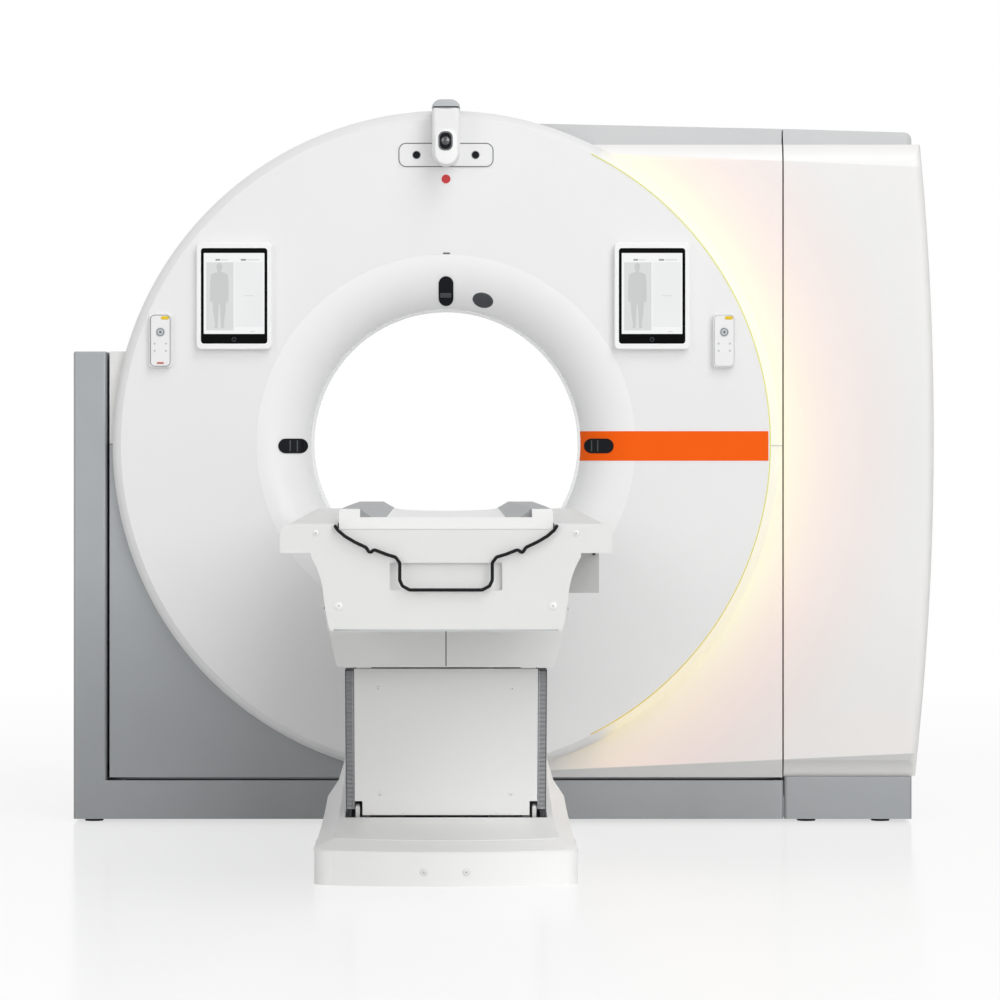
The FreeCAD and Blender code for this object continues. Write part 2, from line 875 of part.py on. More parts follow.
def column(name, x):
    """A steel column on the base frame, bored for its tilt bearing."""
    post = block(name + "_post", x, (-half_column, half_column), (beam_top, size("column_top")))
    bore = rod(name + "_bore", size("bearing_outer"), past(x), "x", y=0, z=axis_height)
    return cut(name, post, [bore])


def tilt_bearings():
    """The two rings that the trunnions turn in."""
    rings = []
    for side, x in (("left", left_column), ("right", right_column)):
        outer = rod(side + "_ring", size("bearing_outer"), x, "x", y=0, z=axis_height)
        bore = rod(side + "_ring_bore", trunnion + size("bearing_gap"), past(x), "x", y=0, z=axis_height)
        rings.append(cut(side + "_tilt_bearing", outer, [bore]))
    return fuse("tilt_bearings", rings)


def tilt_gearmotor():
    """The worm gearbox on the right trunnion, with its motor hanging below."""
    case = block("gearbox_case", gearbox, (-half_gearbox, half_gearbox),
                 (axis_height - half_gearbox, axis_height + half_gearbox))
    middle = (gearbox[0] + gearbox[1]) / 2
    top = axis_height - half_gearbox
    motor = rod("tilt_motor", size("tilt_motor_radius"), (top - size("tilt_motor_length"), top), "z",
                x=middle, y=size("tilt_motor_back"))
    bore = rod("gearbox_bore", trunnion + size("bearing_gap"), (gearbox[0] - OVERSHOOT, gearbox_bore_end),
               "x", y=0, z=axis_height)
    return cut("tilt_gearmotor", fuse("gearmotor_body", [case, motor]), [bore])


def power_cabinet():
    """The upright electrical cabinet in the tower."""
    rear = rear_beam_y + half_beam
    return block("power_cabinet", (tower_inner + size("cabinet_inner"), tower_inner + size("cabinet_outer")),
                 (rear - size("cabinet_depth"), rear), (beam_top, size("cabinet_top")))


def tower_outline(inset, low):
    """The tower's front view: straight beside the gap, bowed on the outside."""
    return [
        (tower_inner + inset, low),
        (tower_inner + size("tower_low_width") - inset, low, size("tower_bow_radius") - inset, 1),
        (tower_inner + size("tower_top_width") - inset, size("right_shoulder_top") - inset),
        (tower_inner + inset, size("right_shoulder_top") - inset),
    ]


def bevel_wedge(edge, inward):
    """The side view of what a bevel takes off a front face at a level edge."""
    level = edge + inward * size("bevel_height")
    ahead = body_front - OVERSHOOT
    return [(ahead, level), (body_front, level), (body_front + size("bevel_depth"), edge), (ahead, edge)]


def tower_cover():
    """The white tower's cover, hollow and open below, with a bowed side and rounded uprights."""
    body = new_body("tower_cover")
    base_top = size("tower_base_top")
    pad(body, "XZ", [tower_outline(as_size(0), base_top)], body_front, stand_rear)
    skin = stand_wall + size("bevel_depth")
    top = size("right_shoulder_top")
    for edge, inward in ((top, -1), (base_top, 1)):
        pocket(body, "YZ", [bevel_wedge(edge, inward)], tower_inner - OVERSHOOT,
               tower_inner + 2 * size("tower_top_width"))
    dress(body, "Fillet", tall_outer_edge, Radius=size("tower_round"))
    hollow = tower_outline(skin, base_top - OVERSHOOT)
    pocket(body, "XZ", [hollow], body_front + skin, stand_rear - stand_wall)
    pocket(body, "YZ", [circle(0, axis_height, trunnion_hole)], *past((tower_inner, tower_inner + skin)))
    return body


def tall_outer_edge(edge):
    """Picks the tower's two long uprights on its bowed side."""
    box = edge.BoundBox
    return box.ZLength > axis_height.value and box.XMin > (tower_inner + OVERSHOOT).value


def tower_base():
    """The grey band under the tower, an upright sheet on three sides."""
    body = new_body("tower_base")
    right = tower_inner + size("tower_base_width")
    top = size("tower_base_top")
    outer = rectangle((tower_inner, right), (body_front, stand_rear), size("edge_round"))
    pad(body, "XY", [outer], floor_gap, top)
    inner = rectangle(
        (tower_inner - stand_wall, right - stand_wall), (body_front + stand_wall, stand_rear - stand_wall)
    )
    pocket(body, "XY", [inner], *past((floor_gap, top)))
    return body


def roof(name, x, front, rear, heights):
    """A roof cap whose top falls from the first height to the second."""
    body = new_body(name)
    bottom = size("right_shoulder_top")
    outline = [(x[0], bottom), (x[1], bottom), (x[1], heights[1]), (x[0], heights[0])]
    pad(body, "XZ", [outline], front, rear)
    return body


def tower_roof():
    """The tower's grey roof cap, rounded at its outer end."""
    body = roof("tower_roof", (tower_inner, size("roof_right")), body_front + size("roof_setback"),
                stand_rear - size("roof_setback"), (size("roof_seam"), size("roof_low")))
    dress(body, "Fillet", roof_end_edge, Radius=size("roof_round"))
    return body


def roof_end_edge(edge):
    """Picks the top and upright edges at the roof's outer end."""
    box = edge.BoundBox
    right = size("roof_right").value
    bottom = size("right_shoulder_top").value
    return abs(box.XMin - right) < 0.01 and box.ZMax > bottom + OVERSHOOT


# the patient table's fixed base --------------------------------------------------------------

pivot_y = size("pivot_y")
pivot_z = size("pivot_z")
lean = size("arm_lean_angle")
arm_length = size("arm_length")
pin = size("pin_radius")
pin_hole = pin + size("pin_gap")
link_y = pivot_y + size("link_offset_y")
link_z = pivot_z + size("link_offset_z")
arm_top_y = pivot_y - arm_length * sine(lean)
arm_top_z = pivot_z + arm_length * cosine(lean)
link_top_y = arm_top_y + size("link_offset_y")
link_top_z = arm_top_z + size("link_offset_z")
arm_half = size("arm_half_width")
cheek = (arm_half + size("side_gap"), arm_half + size("side_gap") + size("cheek_plate"))
base_plate = size("base_plate")
base_rear = size("base_rear")


def table_base_frame():
    """The steel base plate with two upright cheeks that hold the pivot pins of the lift."""
    half = size("base_plate_half_width")
    parts = [block("base_plate", (-half, half), (size("base_plate_front"), size("base_plate_rear")),
                   (0, base_plate))]
    boss = size("cheek_boss")
    for side, x in (("left", (-cheek[1], -cheek[0])), ("right", cheek)):
        parts += [
            block(f"{side}_cheek", x, (size("cheek_front"), size("cheek_rear")), (base_plate, link_z)),
            block(f"{side}_cheek_arm", x, (pivot_y, size("cheek_front")), (pivot_z - boss, pivot_z + boss)),
            rod(f"{side}_cheek_boss", boss, x, "x", y=pivot_y, z=pivot_z),
            rod(f"{side}_link_boss", size("link_boss"), x, "x", y=link_y, z=link_z),
        ]
    ends = (-cheek[1], cheek[1])
    parts.append(rod("arm_pin", pin, ends, "x", y=pivot_y, z=pivot_z))
    parts.append(rod("link_pin", pin, ends, "x", y=link_y, z=link_z))
    return drilled("table_base_frame", fuse("welded_table_base", parts), "table_anchor",
                   (0, size("table_anchor_middle")), past((as_size(0), base_plate)))


def base_plan(half, front, bow):
    """The plan of the base cover's front part: a bowed front with rounded corners."""
    rounding, rear = size("base_round"), size("hump_front")
    chord = half - rounding
    radius = (chord * chord + bow * bow) / (2 * bow)
    return [
        (-half, rear), (-half, front + bow + rounding, rounding, 1),
        (-half + rounding, front + bow, radius, 1), (0, front, radius, 1),
        (half - rounding, front + bow, rounding, 1),
        (half, front + bow + rounding), (half, rear),
    ]


def hump_outline(share):
    """The hump's section at a share of its length, its corners moving as the share's square."""
    half, edge = size("base_half_width"), size("base_edge_height")
    across, up = size("base_top_half_width") - half, size("base_top") - edge
    rear = [
        (half, size("hump_edge")), (size("hump_waist"), size("hump_waist_height")),
        (size("hump_neck"), size("hump_neck_height")), (size("hump_crest"), size("hump_crest_height")),
    ]
    moved = share * share
    right = [(half, as_size(0))]
    for n, (x, z) in enumerate(rear):
        start_x, start_z = half + across * n / 3, edge + up * n / 3
        right.append((start_x + (x - start_x) * moved, start_z + (z - start_z) * moved))
    return right + [(-x, z) for x, z in reversed(right)]


def table_base_cover():
    """The moulded foot: low and bevelled, swept up behind, with an open well for the arm."""
    body = new_body("table_base_cover")
    half, wall_size = size("base_half_width"), size("base_wall")
    front, bow = size("base_front"), size("base_bow")
    edge, top = size("base_edge_height"), size("base_top")
    pad(body, "XY", [base_plan(half, front, bow)], 0, edge)
    loft(body, "XY", [
        (edge, base_plan(half, front, bow)),
        (top, base_plan(size("base_top_half_width"), size("base_top_front"), bow)),
    ])
    start = size("hump_front")
    loft(body, "XZ", [
        (start + (base_rear - start) * step / 3, hump_outline(as_size(step) / 3)) for step in range(4)
    ], ruled=False)
    inside = rectangle((-half + wall_size, half - wall_size),
                       (front + bow + size("base_round"), base_rear - wall_size))
    pocket(body, "XY", [inside], -OVERSHOOT, edge - wall_size)
    well = size("well_half_width")
    plan = rectangle((-well, well), (size("well_front"), size("well_rear")))
    pocket(body, "XY", [plan], *past((as_size(0), size("hump_crest_height"))))
    room = size("motor_room_half_width")
    plan = rectangle((-room, room), (size("well_rear") - OVERSHOOT, base_rear - wall_size))
    pocket(body, "XY", [plan], -OVERSHOOT, size("motor_room_top"))
    return body


def lift_gearmotor():
    """The gearmotor behind the pivot that swings the arm."""
    half = size("motor_half_width")
    rear = size("motor_rear")
    case = block("lift_gearbox", (-half, half), (size("motor_front"), rear), (base_plate, size("motor_top")))
    motor = rod("lift_motor", size("lift_motor_radius"), (rear, rear + size("lift_motor_length")), "y",
                x=size("lift_motor_x"), z=size("lift_motor_z"))
    return fuse("lift_gearmotor", [case, motor])


def cable_duct():
    """The low cover over the cables between the table's base and the plinth."""
    body = new_body("cable_duct")
    half, top, slope = size("duct_half_width"), size("duct_top"), size("duct_slope")
    outer = [(-half, 0), (half, 0), (half - slope, top), (-half + slope, top)]
    pad(body, "XZ", [outer], base_rear, body_front)
    low, high = half - wall, half - wall - slope
    inner = [(-low, -OVERSHOOT), (low, -OVERSHOOT), (high, top - wall), (-high, top - wall)]
    pocket(body, "XZ", [inner], *past((base_rear, body_front)))
    return body


# the tilting gantry --------------------------------------------------------------------------


def turned(name, outline):
    """A ring about the bore's axis from its (y, radius) outline."""
    body = new_body(name, z=axis_height)
    revolve(body, [outline])
    return body


def tilt_frame():
    """The steel ring plate behind the rotor, with a bracket and a trunnion on each side."""
    front = size("frame_front")
    rear = front + size("frame_thickness")
    plate = common("frame_plate", [
        rod("frame_disc", barrel_inner, (front, rear), "y", x=0, z=axis_height),
        rod("frame_sweep", sweep - size("barrel_wall"), (-half_body, half_body), "x", y=0, z=axis_height),
    ])
    bore = rod("frame_bore_hole", size("frame_bore"), past((front, rear)), "y", x=0, z=axis_height)
    ring = cut("frame_ring", plate, [bore])
    half = size("bracket_height") / 2
    inner, outer = size("bracket_inner"), size("bracket_outer")
    parts = [ring]
    ends = {"left": (left_column[0], -outer), "right": (outer, gearbox_bore_end)}
    for side, x in (("left", (-outer, -inner)), ("right", (inner, outer))):
        parts.append(block(f"{side}_bracket", x, (-half, front), (axis_height - half, axis_height + half)))
        parts.append(rod(f"{side}_trunnion", trunnion, ends[side], "x", y=0, z=axis_height))
    return fuse("tilt_frame", parts)


def swept_shell(name, span, inner_span):
    """A stretch of the barrel, its underside cut back to the circle that it swings in."""
    outer = common(name + "_outer", [
        rod(name + "_skin", barrel, span, "y", x=0, z=axis_height),
        rod(name + "_swing", sweep, (-half_body, half_body), "x", y=0, z=axis_height),
    ])
    inner = common(name + "_inner", [
        rod(name + "_hollow", barrel_inner, inner_span, "y", x=0, z=axis_height),
        rod(name + "_inner_swing", sweep - size("barrel_wall"), (-half_body, half_body), "x",
            y=0, z=axis_height),
    ])
    return outer, inner


def barrel_shell():
    """The round shell round the rotor, with a hole on each side for its trunnion."""
    split = size("rear_cover_front")
    outer, inner = swept_shell("barrel", (body_front, split), past((body_front, split)))
    holes = rod("barrel_holes", trunnion_hole, (-half_body, half_body), "x", y=0, z=axis_height)
    return cut("barrel_shell", outer, [inner, holes])


def rear_cover():
    """The back of the gantry, a shallow pan with the hole for the rear funnel."""
    split = size("rear_cover_front")
    outer, inner = swept_shell("rear", (split, body_rear), (split - OVERSHOOT, body_rear - wall))
    hole = rod("rear_hole", size("rear_funnel_radius"), past((split, body_rear)), "y", x=0, z=axis_height)
    return cut("rear_cover", outer, [inner, hole])


def disc_cover():
    """The round front cover: a flat face, a rounded rim and a lap over the barrel."""
    lap = size("rim_lap")
    rim, rim_front = size("rim_radius"), size("rim_front")
    inner_edge = size("funnel_radius") + size("groove_gap")
    return turned("disc_cover", [
        (face_front, inner_edge), (face_front, size("face_radius"), size("rim_round"), -1),
        (rim_front, rim), (body_front + lap, rim), (body_front + lap, barrel), (body_front, barrel),
        (body_front, barrel_inner), (rim_front, barrel_inner),
        (face_front + wall, size("face_radius") - 2 * wall), (face_front + wall, inner_edge),
    ])


def funnel_skin(proud, outer_radius):
    """The outline of a thin layer over the front face and the funnel, from outer_radius inwards."""
    mouth, bore = size("funnel_radius"), size("bore_radius")
    rounding, liner_front = size("funnel_round"), size("liner_front")
    return [
        (face_front - proud, outer_radius), (face_front - proud, mouth, rounding + proud, 1),
        (liner_front, bore - proud), (liner_front, bore, rounding, -1),
        (face_front, mouth), (face_front, outer_radius),
    ]


def front_funnel():
    """The flared ring from the flat face into the bore."""
    mouth, bore = size("funnel_radius"), size("bore_radius")
    rounding, liner_front = size("funnel_round"), size("liner_front")
    return turned("front_funnel", [
        (face_front, mouth, rounding, 1), (liner_front, bore),
        (liner_front, bore + wall, rounding - wall, -1), (face_front + wall, mouth),
    ])


def bore_liner():
    """The thin tube that the beam passes through."""
    bore = size("bore_radius")
    return turned("bore_liner", rectangle((size("liner_front"), size("liner_rear")), (bore, bore + wall)))


def rear_funnel():
    """The wide cone at the back, flared so that the table clears it at full tilt."""
    bore, wide = size("bore_radius"), size("rear_funnel_radius")
    start = size("liner_rear")
    return turned("rear_funnel", [
        (start, bore), (body_rear, wide), (body_rear - size("rear_funnel_edge"), wide),
        (start, bore + size("rear_funnel_wall")),
    ])


def shoulder(name, x, z, bevels):
    """A cover beside the barrel: a front view cut round the disc, its underside cut to the swing."""
    body = new_body(name + "_block")
    pad(body, "XZ", [rectangle(x, z)], body_front, body_rear)
    for edge, inward in bevels:
        pocket(body, "YZ", [bevel_wedge(edge, inward)], *past(x))
    tools = [
        rod(name + "_barrel", barrel, past((body_front, body_rear)), "y", x=0, z=axis_height),
        rod(name + "_rim", size("rim_radius") + size("rim_gap"),
            (body_front - OVERSHOOT, body_front + 2 * size("rim_lap")), "y", x=0, z=axis_height),
        rod(name + "_trunnion", trunnion_hole, past(x), "x", y=0, z=axis_height),
    ]
    swing = rod(name + "_swing", sweep, past(x), "x", y=0, z=axis_height)
    if z[0].value > axis_height.value:
        return cut(name, body, tools)
    low = cut(name + "_cut", body, tools)
    if z[1].value < axis_height.value:
        return common(name, [low, swing])
    upper = block(name + "_upper", past(x), past((body_front, body_rear)), (axis_height, z[1] + OVERSHOOT))
    return common(name, [low, fuse(name + "_room", [swing, upper])])


def lower_left_shoulder():
    """The grey cover at the lower left."""
    seam = size("shoulder_seam") / 2
    return shoulder("lower_left_shoulder", (-half_body, -size("shoulder_start")),
                    (size("body_bottom"), axis_height - seam), [])


def upper_left_shoulder():
    """The pale cover at the left above the seam."""
    seam = size("shoulder_seam") / 2
    return shoulder("upper_left_shoulder", (-half_body, -half_body + size("left_panel_width")),
                    (axis_height + seam, size("left_shoulder_top")), [])


def right_shoulder():
    """The white cover on the right, bevelled along its top and bottom front edges."""
    z = (size("body_bottom"), size("right_shoulder_top"))
    return shoulder("right_shoulder", (size("shoulder_start"), half_body), z, [(z[1], -1)])


def roof_cap():
    """The grey roof over the right shoulder, from the barrel to the gap beside the tower."""
    body = roof("roof_cap_block", (size("shoulder_start"), half_body), body_front + size("roof_setback"),
                body_rear - size("roof_setback"), (size("roof_high"), size("roof_seam")))
    barrel_cut = rod("roof_barrel", barrel, (body_front, body_rear), "y", x=0, z=axis_height)
    return cut("roof_cap", body, [barrel_cut])


def sector(name, inner, outer, low_angle, high_angle, y):
    """A piece of a ring about the bore's axis, between two angles from +X towards +Z."""
    body = new_body(name, z=axis_height)
    middle = (low_angle + high_angle) / 2
    spots = [
        [(radius * cosine(angle), radius * sine(angle)) for angle in (low_angle, middle, high_angle)]
        for radius in (outer, inner)
    ]
    outline = [
        (*spots[0][0], outer, 1), (*spots[0][1], outer, 1), spots[0][2],
        (*spots[1][2], inner, -1), (*spots[1][1], inner, -1), spots[1][0],
    ]
    pad(body, "XZ", [outline], *y)
    return body


def light_strip():
    """The light guide over the disc's rounded rim, down its right side."""
    proud, lap = size("light_proud"), size("light_lap")
    edge, rim, rim_front = size("face_radius"), size("rim_radius"), size("rim_front")
    rounding = size("rim_round")
    guide = turned("light_guide", [
        (face_front - proud, edge - lap), (face_front - proud, edge, rounding, -1), (rim_front, rim + proud),
        (body_front, rim + proud), (body_front, rim), (rim_front, rim, rounding, 1), (face_front, edge),
        (face_front, edge - lap),
    ])
    stretch = sector("light_stretch", edge - 2 * lap, rim + 2 * lap, size("light_bottom_angle"),
                     size("light_top_angle"), (face_front - 2 * proud, body_front))
    return common("light_strip", [guide, stretch])


def camera_pod():
    """The camera housing at the top of the face, with a rounded foot."""
    body = new_body("camera_pod")
    half = size("pod_width") / 2
    back = face_front - size("plate_proud")
    front = back - size("pod_depth")
    low, high, corner = size("pod_bottom"), size("pod_top"), size("pod_corner")
    outline = [
        (half, low + half), (half, high - corner, corner, 1), (half - corner, high),
        (-half + corner, high, corner, 1), (-half, high - corner), (-half, low + half, half, 1),
        (0, low, half, 1),
    ]
    pad(body, "XZ", [outline], front, back)
    dress(body, "Fillet", edge_at(y=front), Radius=size("pod_round"))
    return body


def camera_window():
    """The dark window in front of the camera's lens."""
    body = new_body("camera_window")
    half = size("lens_half_width")
    front = face_front - size("plate_proud") - size("pod_depth")
    outline = rectangle((-half, half), (size("lens_bottom"), size("lens_top")), size("lens_round"))
    pad(body, "XZ", [outline], front - size("lens_proud"), front)
    return body


def sensor_plate():
    """The thin plate behind the camera pod."""
    body = new_body("sensor_plate")
    half = size("plate_width") / 2
    outline = rectangle((-half, half), (size("plate_bottom"), size("plate_top")), size("plate_round"))
    pad(body, "XZ", [outline], face_front - size("plate_proud"), face_front)
    return body


def room_sensors():
    """The two dark round sensors on the plate."""
    plate_front = face_front - size("plate_proud")
    height = (size("plate_bottom") + size("plate_top")) / 2
    discs = [
        rod(f"sensor_{n}", size("sensor_radius"), (plate_front - size("sensor_proud"), plate_front), "y",
            x=x, z=height)
        for n, x in enumerate((-size("sensor_spacing") / 2, size("sensor_spacing") / 2))
    ]
    return fuse("room_sensors", discs)


def indicator_lamp():
    """The small round lamp under the sensor plate."""
    return rod("indicator_lamp", size("lamp_radius"), (face_front - size("plate_proud"), face_front), "y",
               x=0, z=size("lamp_height"))


def window_slot(name, x, z, lying):
    """A slot-shaped bar through the funnel's wall, upright or lying."""
    body = new_body(name)
    radius = size("window_width") / 2
    reach = size("window_length") / 2 - radius
    if lying:
        outline = [
            (x - reach, z - radius), (x + reach, z - radius, radius, 1), (x + reach + radius, z, radius, 1),
            (x + reach, z + radius), (x - reach, z + radius, radius, 1), (x - reach - radius, z, radius, 1),
        ]
    else:
        outline = stadium(z - reach, z + reach, radius, across=x)
    pad(body, "XZ", [outline], face_front - 2 * size("window_proud"), size("liner_front"))
    return body


def laser_windows():
    """The three dark windows of the alignment lasers, let into the funnel at its top and sides."""
    middle = size("window_middle")
    side_height = axis_height - size("window_drop")
    slots = [
        window_slot("top_slot", as_size(0), axis_height + middle, False),
        window_slot("left_slot", -middle, side_height, True),
        window_slot("right_slot", middle, side_height, True),
    ]
    skin = turned("window_skin", funnel_skin(size("window_proud"), size("funnel_radius") + OVERSHOOT))
    return common("laser_windows", [skin, fuse("slots", slots)])


def orange_band():
    """The orange band from the bore's lip to the edge of the disc, cut round the laser window."""
    half = size("band_half_height")
    middle = axis_height - size("window_drop")
    skin = turned("band_skin", funnel_skin(size("band_proud"), size("face_radius")))
    strip = block("band_strip", (size("band_start"), size("band_end")),
                  (face_front - 2 * size("band_proud"), size("liner_front")), (middle - half, middle + half))
    slot = window_slot("band_slot", size("window_middle"), middle, True)
    return cut("orange_band", common("band_sheet", [skin, strip]), [slot])


tablet_spots = (("left", size("left_tablet_x")), ("right", size("right_tablet_x")))
remote_spots = (("left", size("left_remote_x")), ("right", size("right_remote_x")))


def around(x, z, width, height):
    """The limits of a rectangle round a middle."""
    return (x - width / 2, x + width / 2), (z - height / 2, z + height / 2)


def pair(name, make, spots):
    """The same piece at the left and at the right, in one group."""
    return fuse(name, [make(side, x) for side, x in spots])


def glass_outline(x):
    """The outline of a tablet's glass and of its tray."""
    border = 2 * size("tablet_border")
    width, height = size("tablet_width") - border, size("tablet_height") - border - size("tablet_chin")
    return rectangle(*around(x, size("tablet_z"), width, height), size("screen_round"))


def tablet_case(side, x):
    """A tablet's white case, with the shallow tray that its glass sits in."""
    body = new_body(side + "_tablet_case")
    z, width, height = size("tablet_z"), size("tablet_width"), size("tablet_height")
    front = face_front - size("tablet_depth")
    pad(body, "XZ", [rectangle(*around(x, z, width, height), size("tablet_round"))], front, face_front)
    dress(body, "Fillet", edge_at(y=front), Radius=size("tablet_edge"))
    pocket(body, "XZ", [glass_outline(x)], front - OVERSHOOT, front + size("screen_depth"))
    return body


def tablet_screen(side, x):
    """A tablet's glass."""
    body = new_body(side + "_tablet_screen")
    front = face_front - size("tablet_depth")
    pad(body, "XZ", [glass_outline(x)], front + size("screen_step"), front + size("screen_depth"))
    return body


def remote_case(side, x):
    """A docked remote control, with the round seat of its main key."""
    body = new_body(side + "_remote_case")
    z = size("remote_z")
    front = face_front - size("remote_depth")
    plan = rectangle(*around(x, z, size("remote_width"), size("remote_height")), size("remote_round"))
    pad(body, "XZ", [plan], front, face_front)
    dress(body, "Fillet", edge_at(y=front), Radius=size("remote_edge"))
    seat = circle(x, z + size("key_above_middle"), size("key_radius") + size("key_gap"))
    floor = front - size("key_proud") + size("key_depth") + size("key_travel") + size("key_room")
    pocket(body, "XZ", [seat], front - OVERSHOOT, floor)
    return body


def remote_key(side, x):
    """A remote's round main key, proud of its case."""
    body = new_body(side + "_remote_key")
    front = face_front - size("remote_depth") - size("key_proud")
    plan = circle(x, size("remote_z") + size("key_above_middle"), size("key_radius"))
    pad(body, "XZ", [plan], front, front + size("key_depth"))
    dress(body, "Fillet", edge_at(y=front), Radius=size("key_edge"))
    return body


# the rotor -----------------------------------------------------------------------------------

drum_rear = size("drum_rear")
drum_plate_front = drum_rear - size("drum_plate")
race = size("race_radius")


def main_bearing():
    """The large bearing's fixed ring, on the front of the tilt frame."""
    front = size("frame_front")
    inner = race + size("race_gap")
    start = drum_rear + size("bearing_start")
    return turned("main_bearing", rectangle((start, front), (inner, inner + size("bearing_width"))))


def rotor_drum():
    """The turning drum: a rear plate between an inner and an outer wall, with the bearing's race."""
    inner, outer, skin = size("drum_inner"), size("drum_outer"), size("drum_wall")
    front = size("drum_front")
    race_rear = drum_rear + size("race_length")
    return turned("rotor_drum", [
        (front, outer - skin), (front, outer), (drum_rear, outer), (drum_rear, race), (race_rear, race),
        (race_rear, race - size("race_width")), (drum_rear, race - size("race_width")), (drum_rear, inner),
        (drum_plate_front - skin, inner), (drum_plate_front - skin, inner + skin),
        (drum_plate_front, inner + skin), (drum_plate_front, outer - skin),
    ])


def slip_ring():
    """The ring on the back of the drum that carries power and data."""
    outer = size("slip_ring_radius")
    return turned("slip_ring", rectangle((drum_rear, drum_rear + size("slip_ring_depth")),
                                         (outer - size("slip_ring_width"), outer)))


tube_z = axis_height + size("tube_height")


def xray_tube():
    """The x-ray tube's round housing, on the drum's plate."""
    return rod("xray_tube", size("tube_radius"), (size("tube_front"), drum_plate_front), "y", x=0, z=tube_z)


def collimator():
    """The open box under the tube that the two shutter blades slide in."""
    half_length, half_width, skin = (size(n) for n in
                                     ("collimator_half_length", "collimator_half_width", "collimator_wall"))
    low = axis_height + size("collimator_bottom")
    case = block("collimator_case", (-half_length, half_length), (-half_width, drum_plate_front),
                 (low, tube_z))
    room = block("collimator_room", (-half_length + skin, half_length - skin),
                 (-half_width + skin, half_width - skin), past((low, tube_z)))
    tube = rod("tube_seat", size("tube_radius"), past((-half_width, drum_plate_front)), "y", x=0, z=tube_z)
    return cut("collimator", case, [room, tube])


def collimator_blade(name, y):
    """A shutter blade across the beam."""
    half = size("collimator_half_length") - size("collimator_wall") - size("blade_gap")
    low = axis_height + size("blade_height")
    return block(name, (-half, half), y, (low, low + size("blade_thickness")))


def detector_arc():
    """The detector, a curved box centred on the tube's focus, opposite the tube."""
    body = new_body("detector_arc", z=axis_height + size("focus_height"))
    inner = size("detector_radius")
    outer = inner + size("detector_depth")
    angle = size("detector_half_angle")
    outline = [
        (-inner * sine(angle), -inner * cosine(angle)),
        (-outer * sine(angle), -outer * cosine(angle), outer, 1),
        (outer * sine(angle), -outer * cosine(angle)),
        (inner * sine(angle), -inner * cosine(angle), inner, -1),
    ]
    pad(body, "XZ", [outline], -size("detector_half_width"), drum_plate_front)
    return body


def generator_boxes():
    """The high-voltage generator and its twin, one on each side of the drum."""
    inner, outer, half = (size(n) for n in ("generator_inner", "generator_outer", "generator_half_height"))
    z = (axis_height - half, axis_height + half)
    y = (size("generator_front"), drum_plate_front)
    return fuse("generator_boxes", [
        block("left_generator", (-outer, -inner), y, z),
        block("right_generator", (inner, outer), y, z),
    ])


# the lift ------------------------------------------------------------------------------------


def leaning_body(name, y, z):
    """A body whose Z axis runs up along the leaning arm from a pivot at its origin."""
    return new_body(name, y=y, z=z, axis=(1, 0, 0), angle=lean)


def lift_arm():
    """The main arm: two pierced side plates joined by a box beam."""
    body = leaning_body("lift_arm", pivot_y, pivot_z)
    half_box = size("arm_box_depth") / 2
    inner = arm_half - size("arm_plate")
    beam = rectangle((-half_box, half_box), (size("arm_box_low"), size("arm_box_high")))
    pad(body, "YZ", [beam], -inner, inner)
    outlines = [
        stadium(as_size(0), arm_length, size("arm_half_depth")),
        circle(0, 0, pin_hole), circle(0, arm_length, pin_hole),
    ]
    pad(body, "YZ", outlines, inner, arm_half)
    pad(body, "YZ", outlines, -arm_half, -inner)
    return body


def lift_links():
    """The two upper links, tied by a tube; their top holes are wide because the linkage opens there."""
    body = leaning_body("lift_links", link_y, link_z)
    half = size("link_half_width")
    inner = half - size("link_plate")
    pad(body, "YZ", [circle(0, arm_length / 2, size("link_tube_radius"))], -inner, inner)
    outlines = [
        stadium(as_size(0), arm_length, size("link_half_depth")),
        circle(0, 0, pin_hole), circle(0, arm_length, pin + size("open_pivot_gap")),
    ]
    pad(body, "YZ", outlines, inner, half)
    pad(body, "YZ", outlines, -half, -inner)
    return body


def arm_panel():
    """The white panel in front of the arm: a shallow tray with notched lower corners and two ribs."""
    body = leaning_body("arm_panel", pivot_y, pivot_z)
    half, skin = size("panel_half_width"), size("panel_wall")
    front, back = -size("panel_front"), -size("panel_back")
    low, high = size("panel_low"), size("panel_high")
    pad(body, "XZ", [rectangle((-half, half), (low, high))], front, back)
    tray = rectangle((-half + skin, half - skin), past((low, high)))
    pocket(body, "XZ", [tray], front + skin, back + OVERSHOOT)
    wide, tall = size("panel_notch_width"), size("panel_notch_height")
    for x in ((-half - OVERSHOOT, -half + wide), (half - wide, half + OVERSHOOT)):
        pocket(body, "XZ", [rectangle(x, (low - OVERSHOOT, low + tall))], *past((front, back)))
    rib, at = size("panel_rib"), size("panel_rib_at")
    beam_face = -size("arm_box_depth") / 2
    z = (size("panel_rib_low"), size("panel_rib_high"))
    for x in ((-at - rib, -at), (at, at + rib)):
        pad(body, "XZ", [rectangle(x, z)], front + skin, beam_face)
    return body


def side_gaiters():
    """The two pleated strips beside the panel: a zigzag front, one pleat a pitch."""
    count, pitch, deep = int(size("gaiter_pleats").value), size("gaiter_pitch"), size("gaiter_depth")
    low = size("gaiter_low")
    back, crest = -size("panel_back"), -size("panel_front") + size("gaiter_setback")
    outline = [(back, low + count * pitch), *[
        (crest + deep * (step % 2), low + (2 * count - step) * pitch / 2) for step in range(2 * count + 1)
    ], (back, low)]
    strips = []
    half, width = size("panel_half_width"), size("gaiter_width")
    for side, x in (("left", (-half - width, -half)), ("right", (half, half + width))):
        strip = leaning_body(side + "_gaiter", pivot_y, pivot_z)
        pad(strip, "YZ", [outline], *x)
        strips.append(strip)
    return fuse("side_gaiters", strips)


# the carriage --------------------------------------------------------------------------------

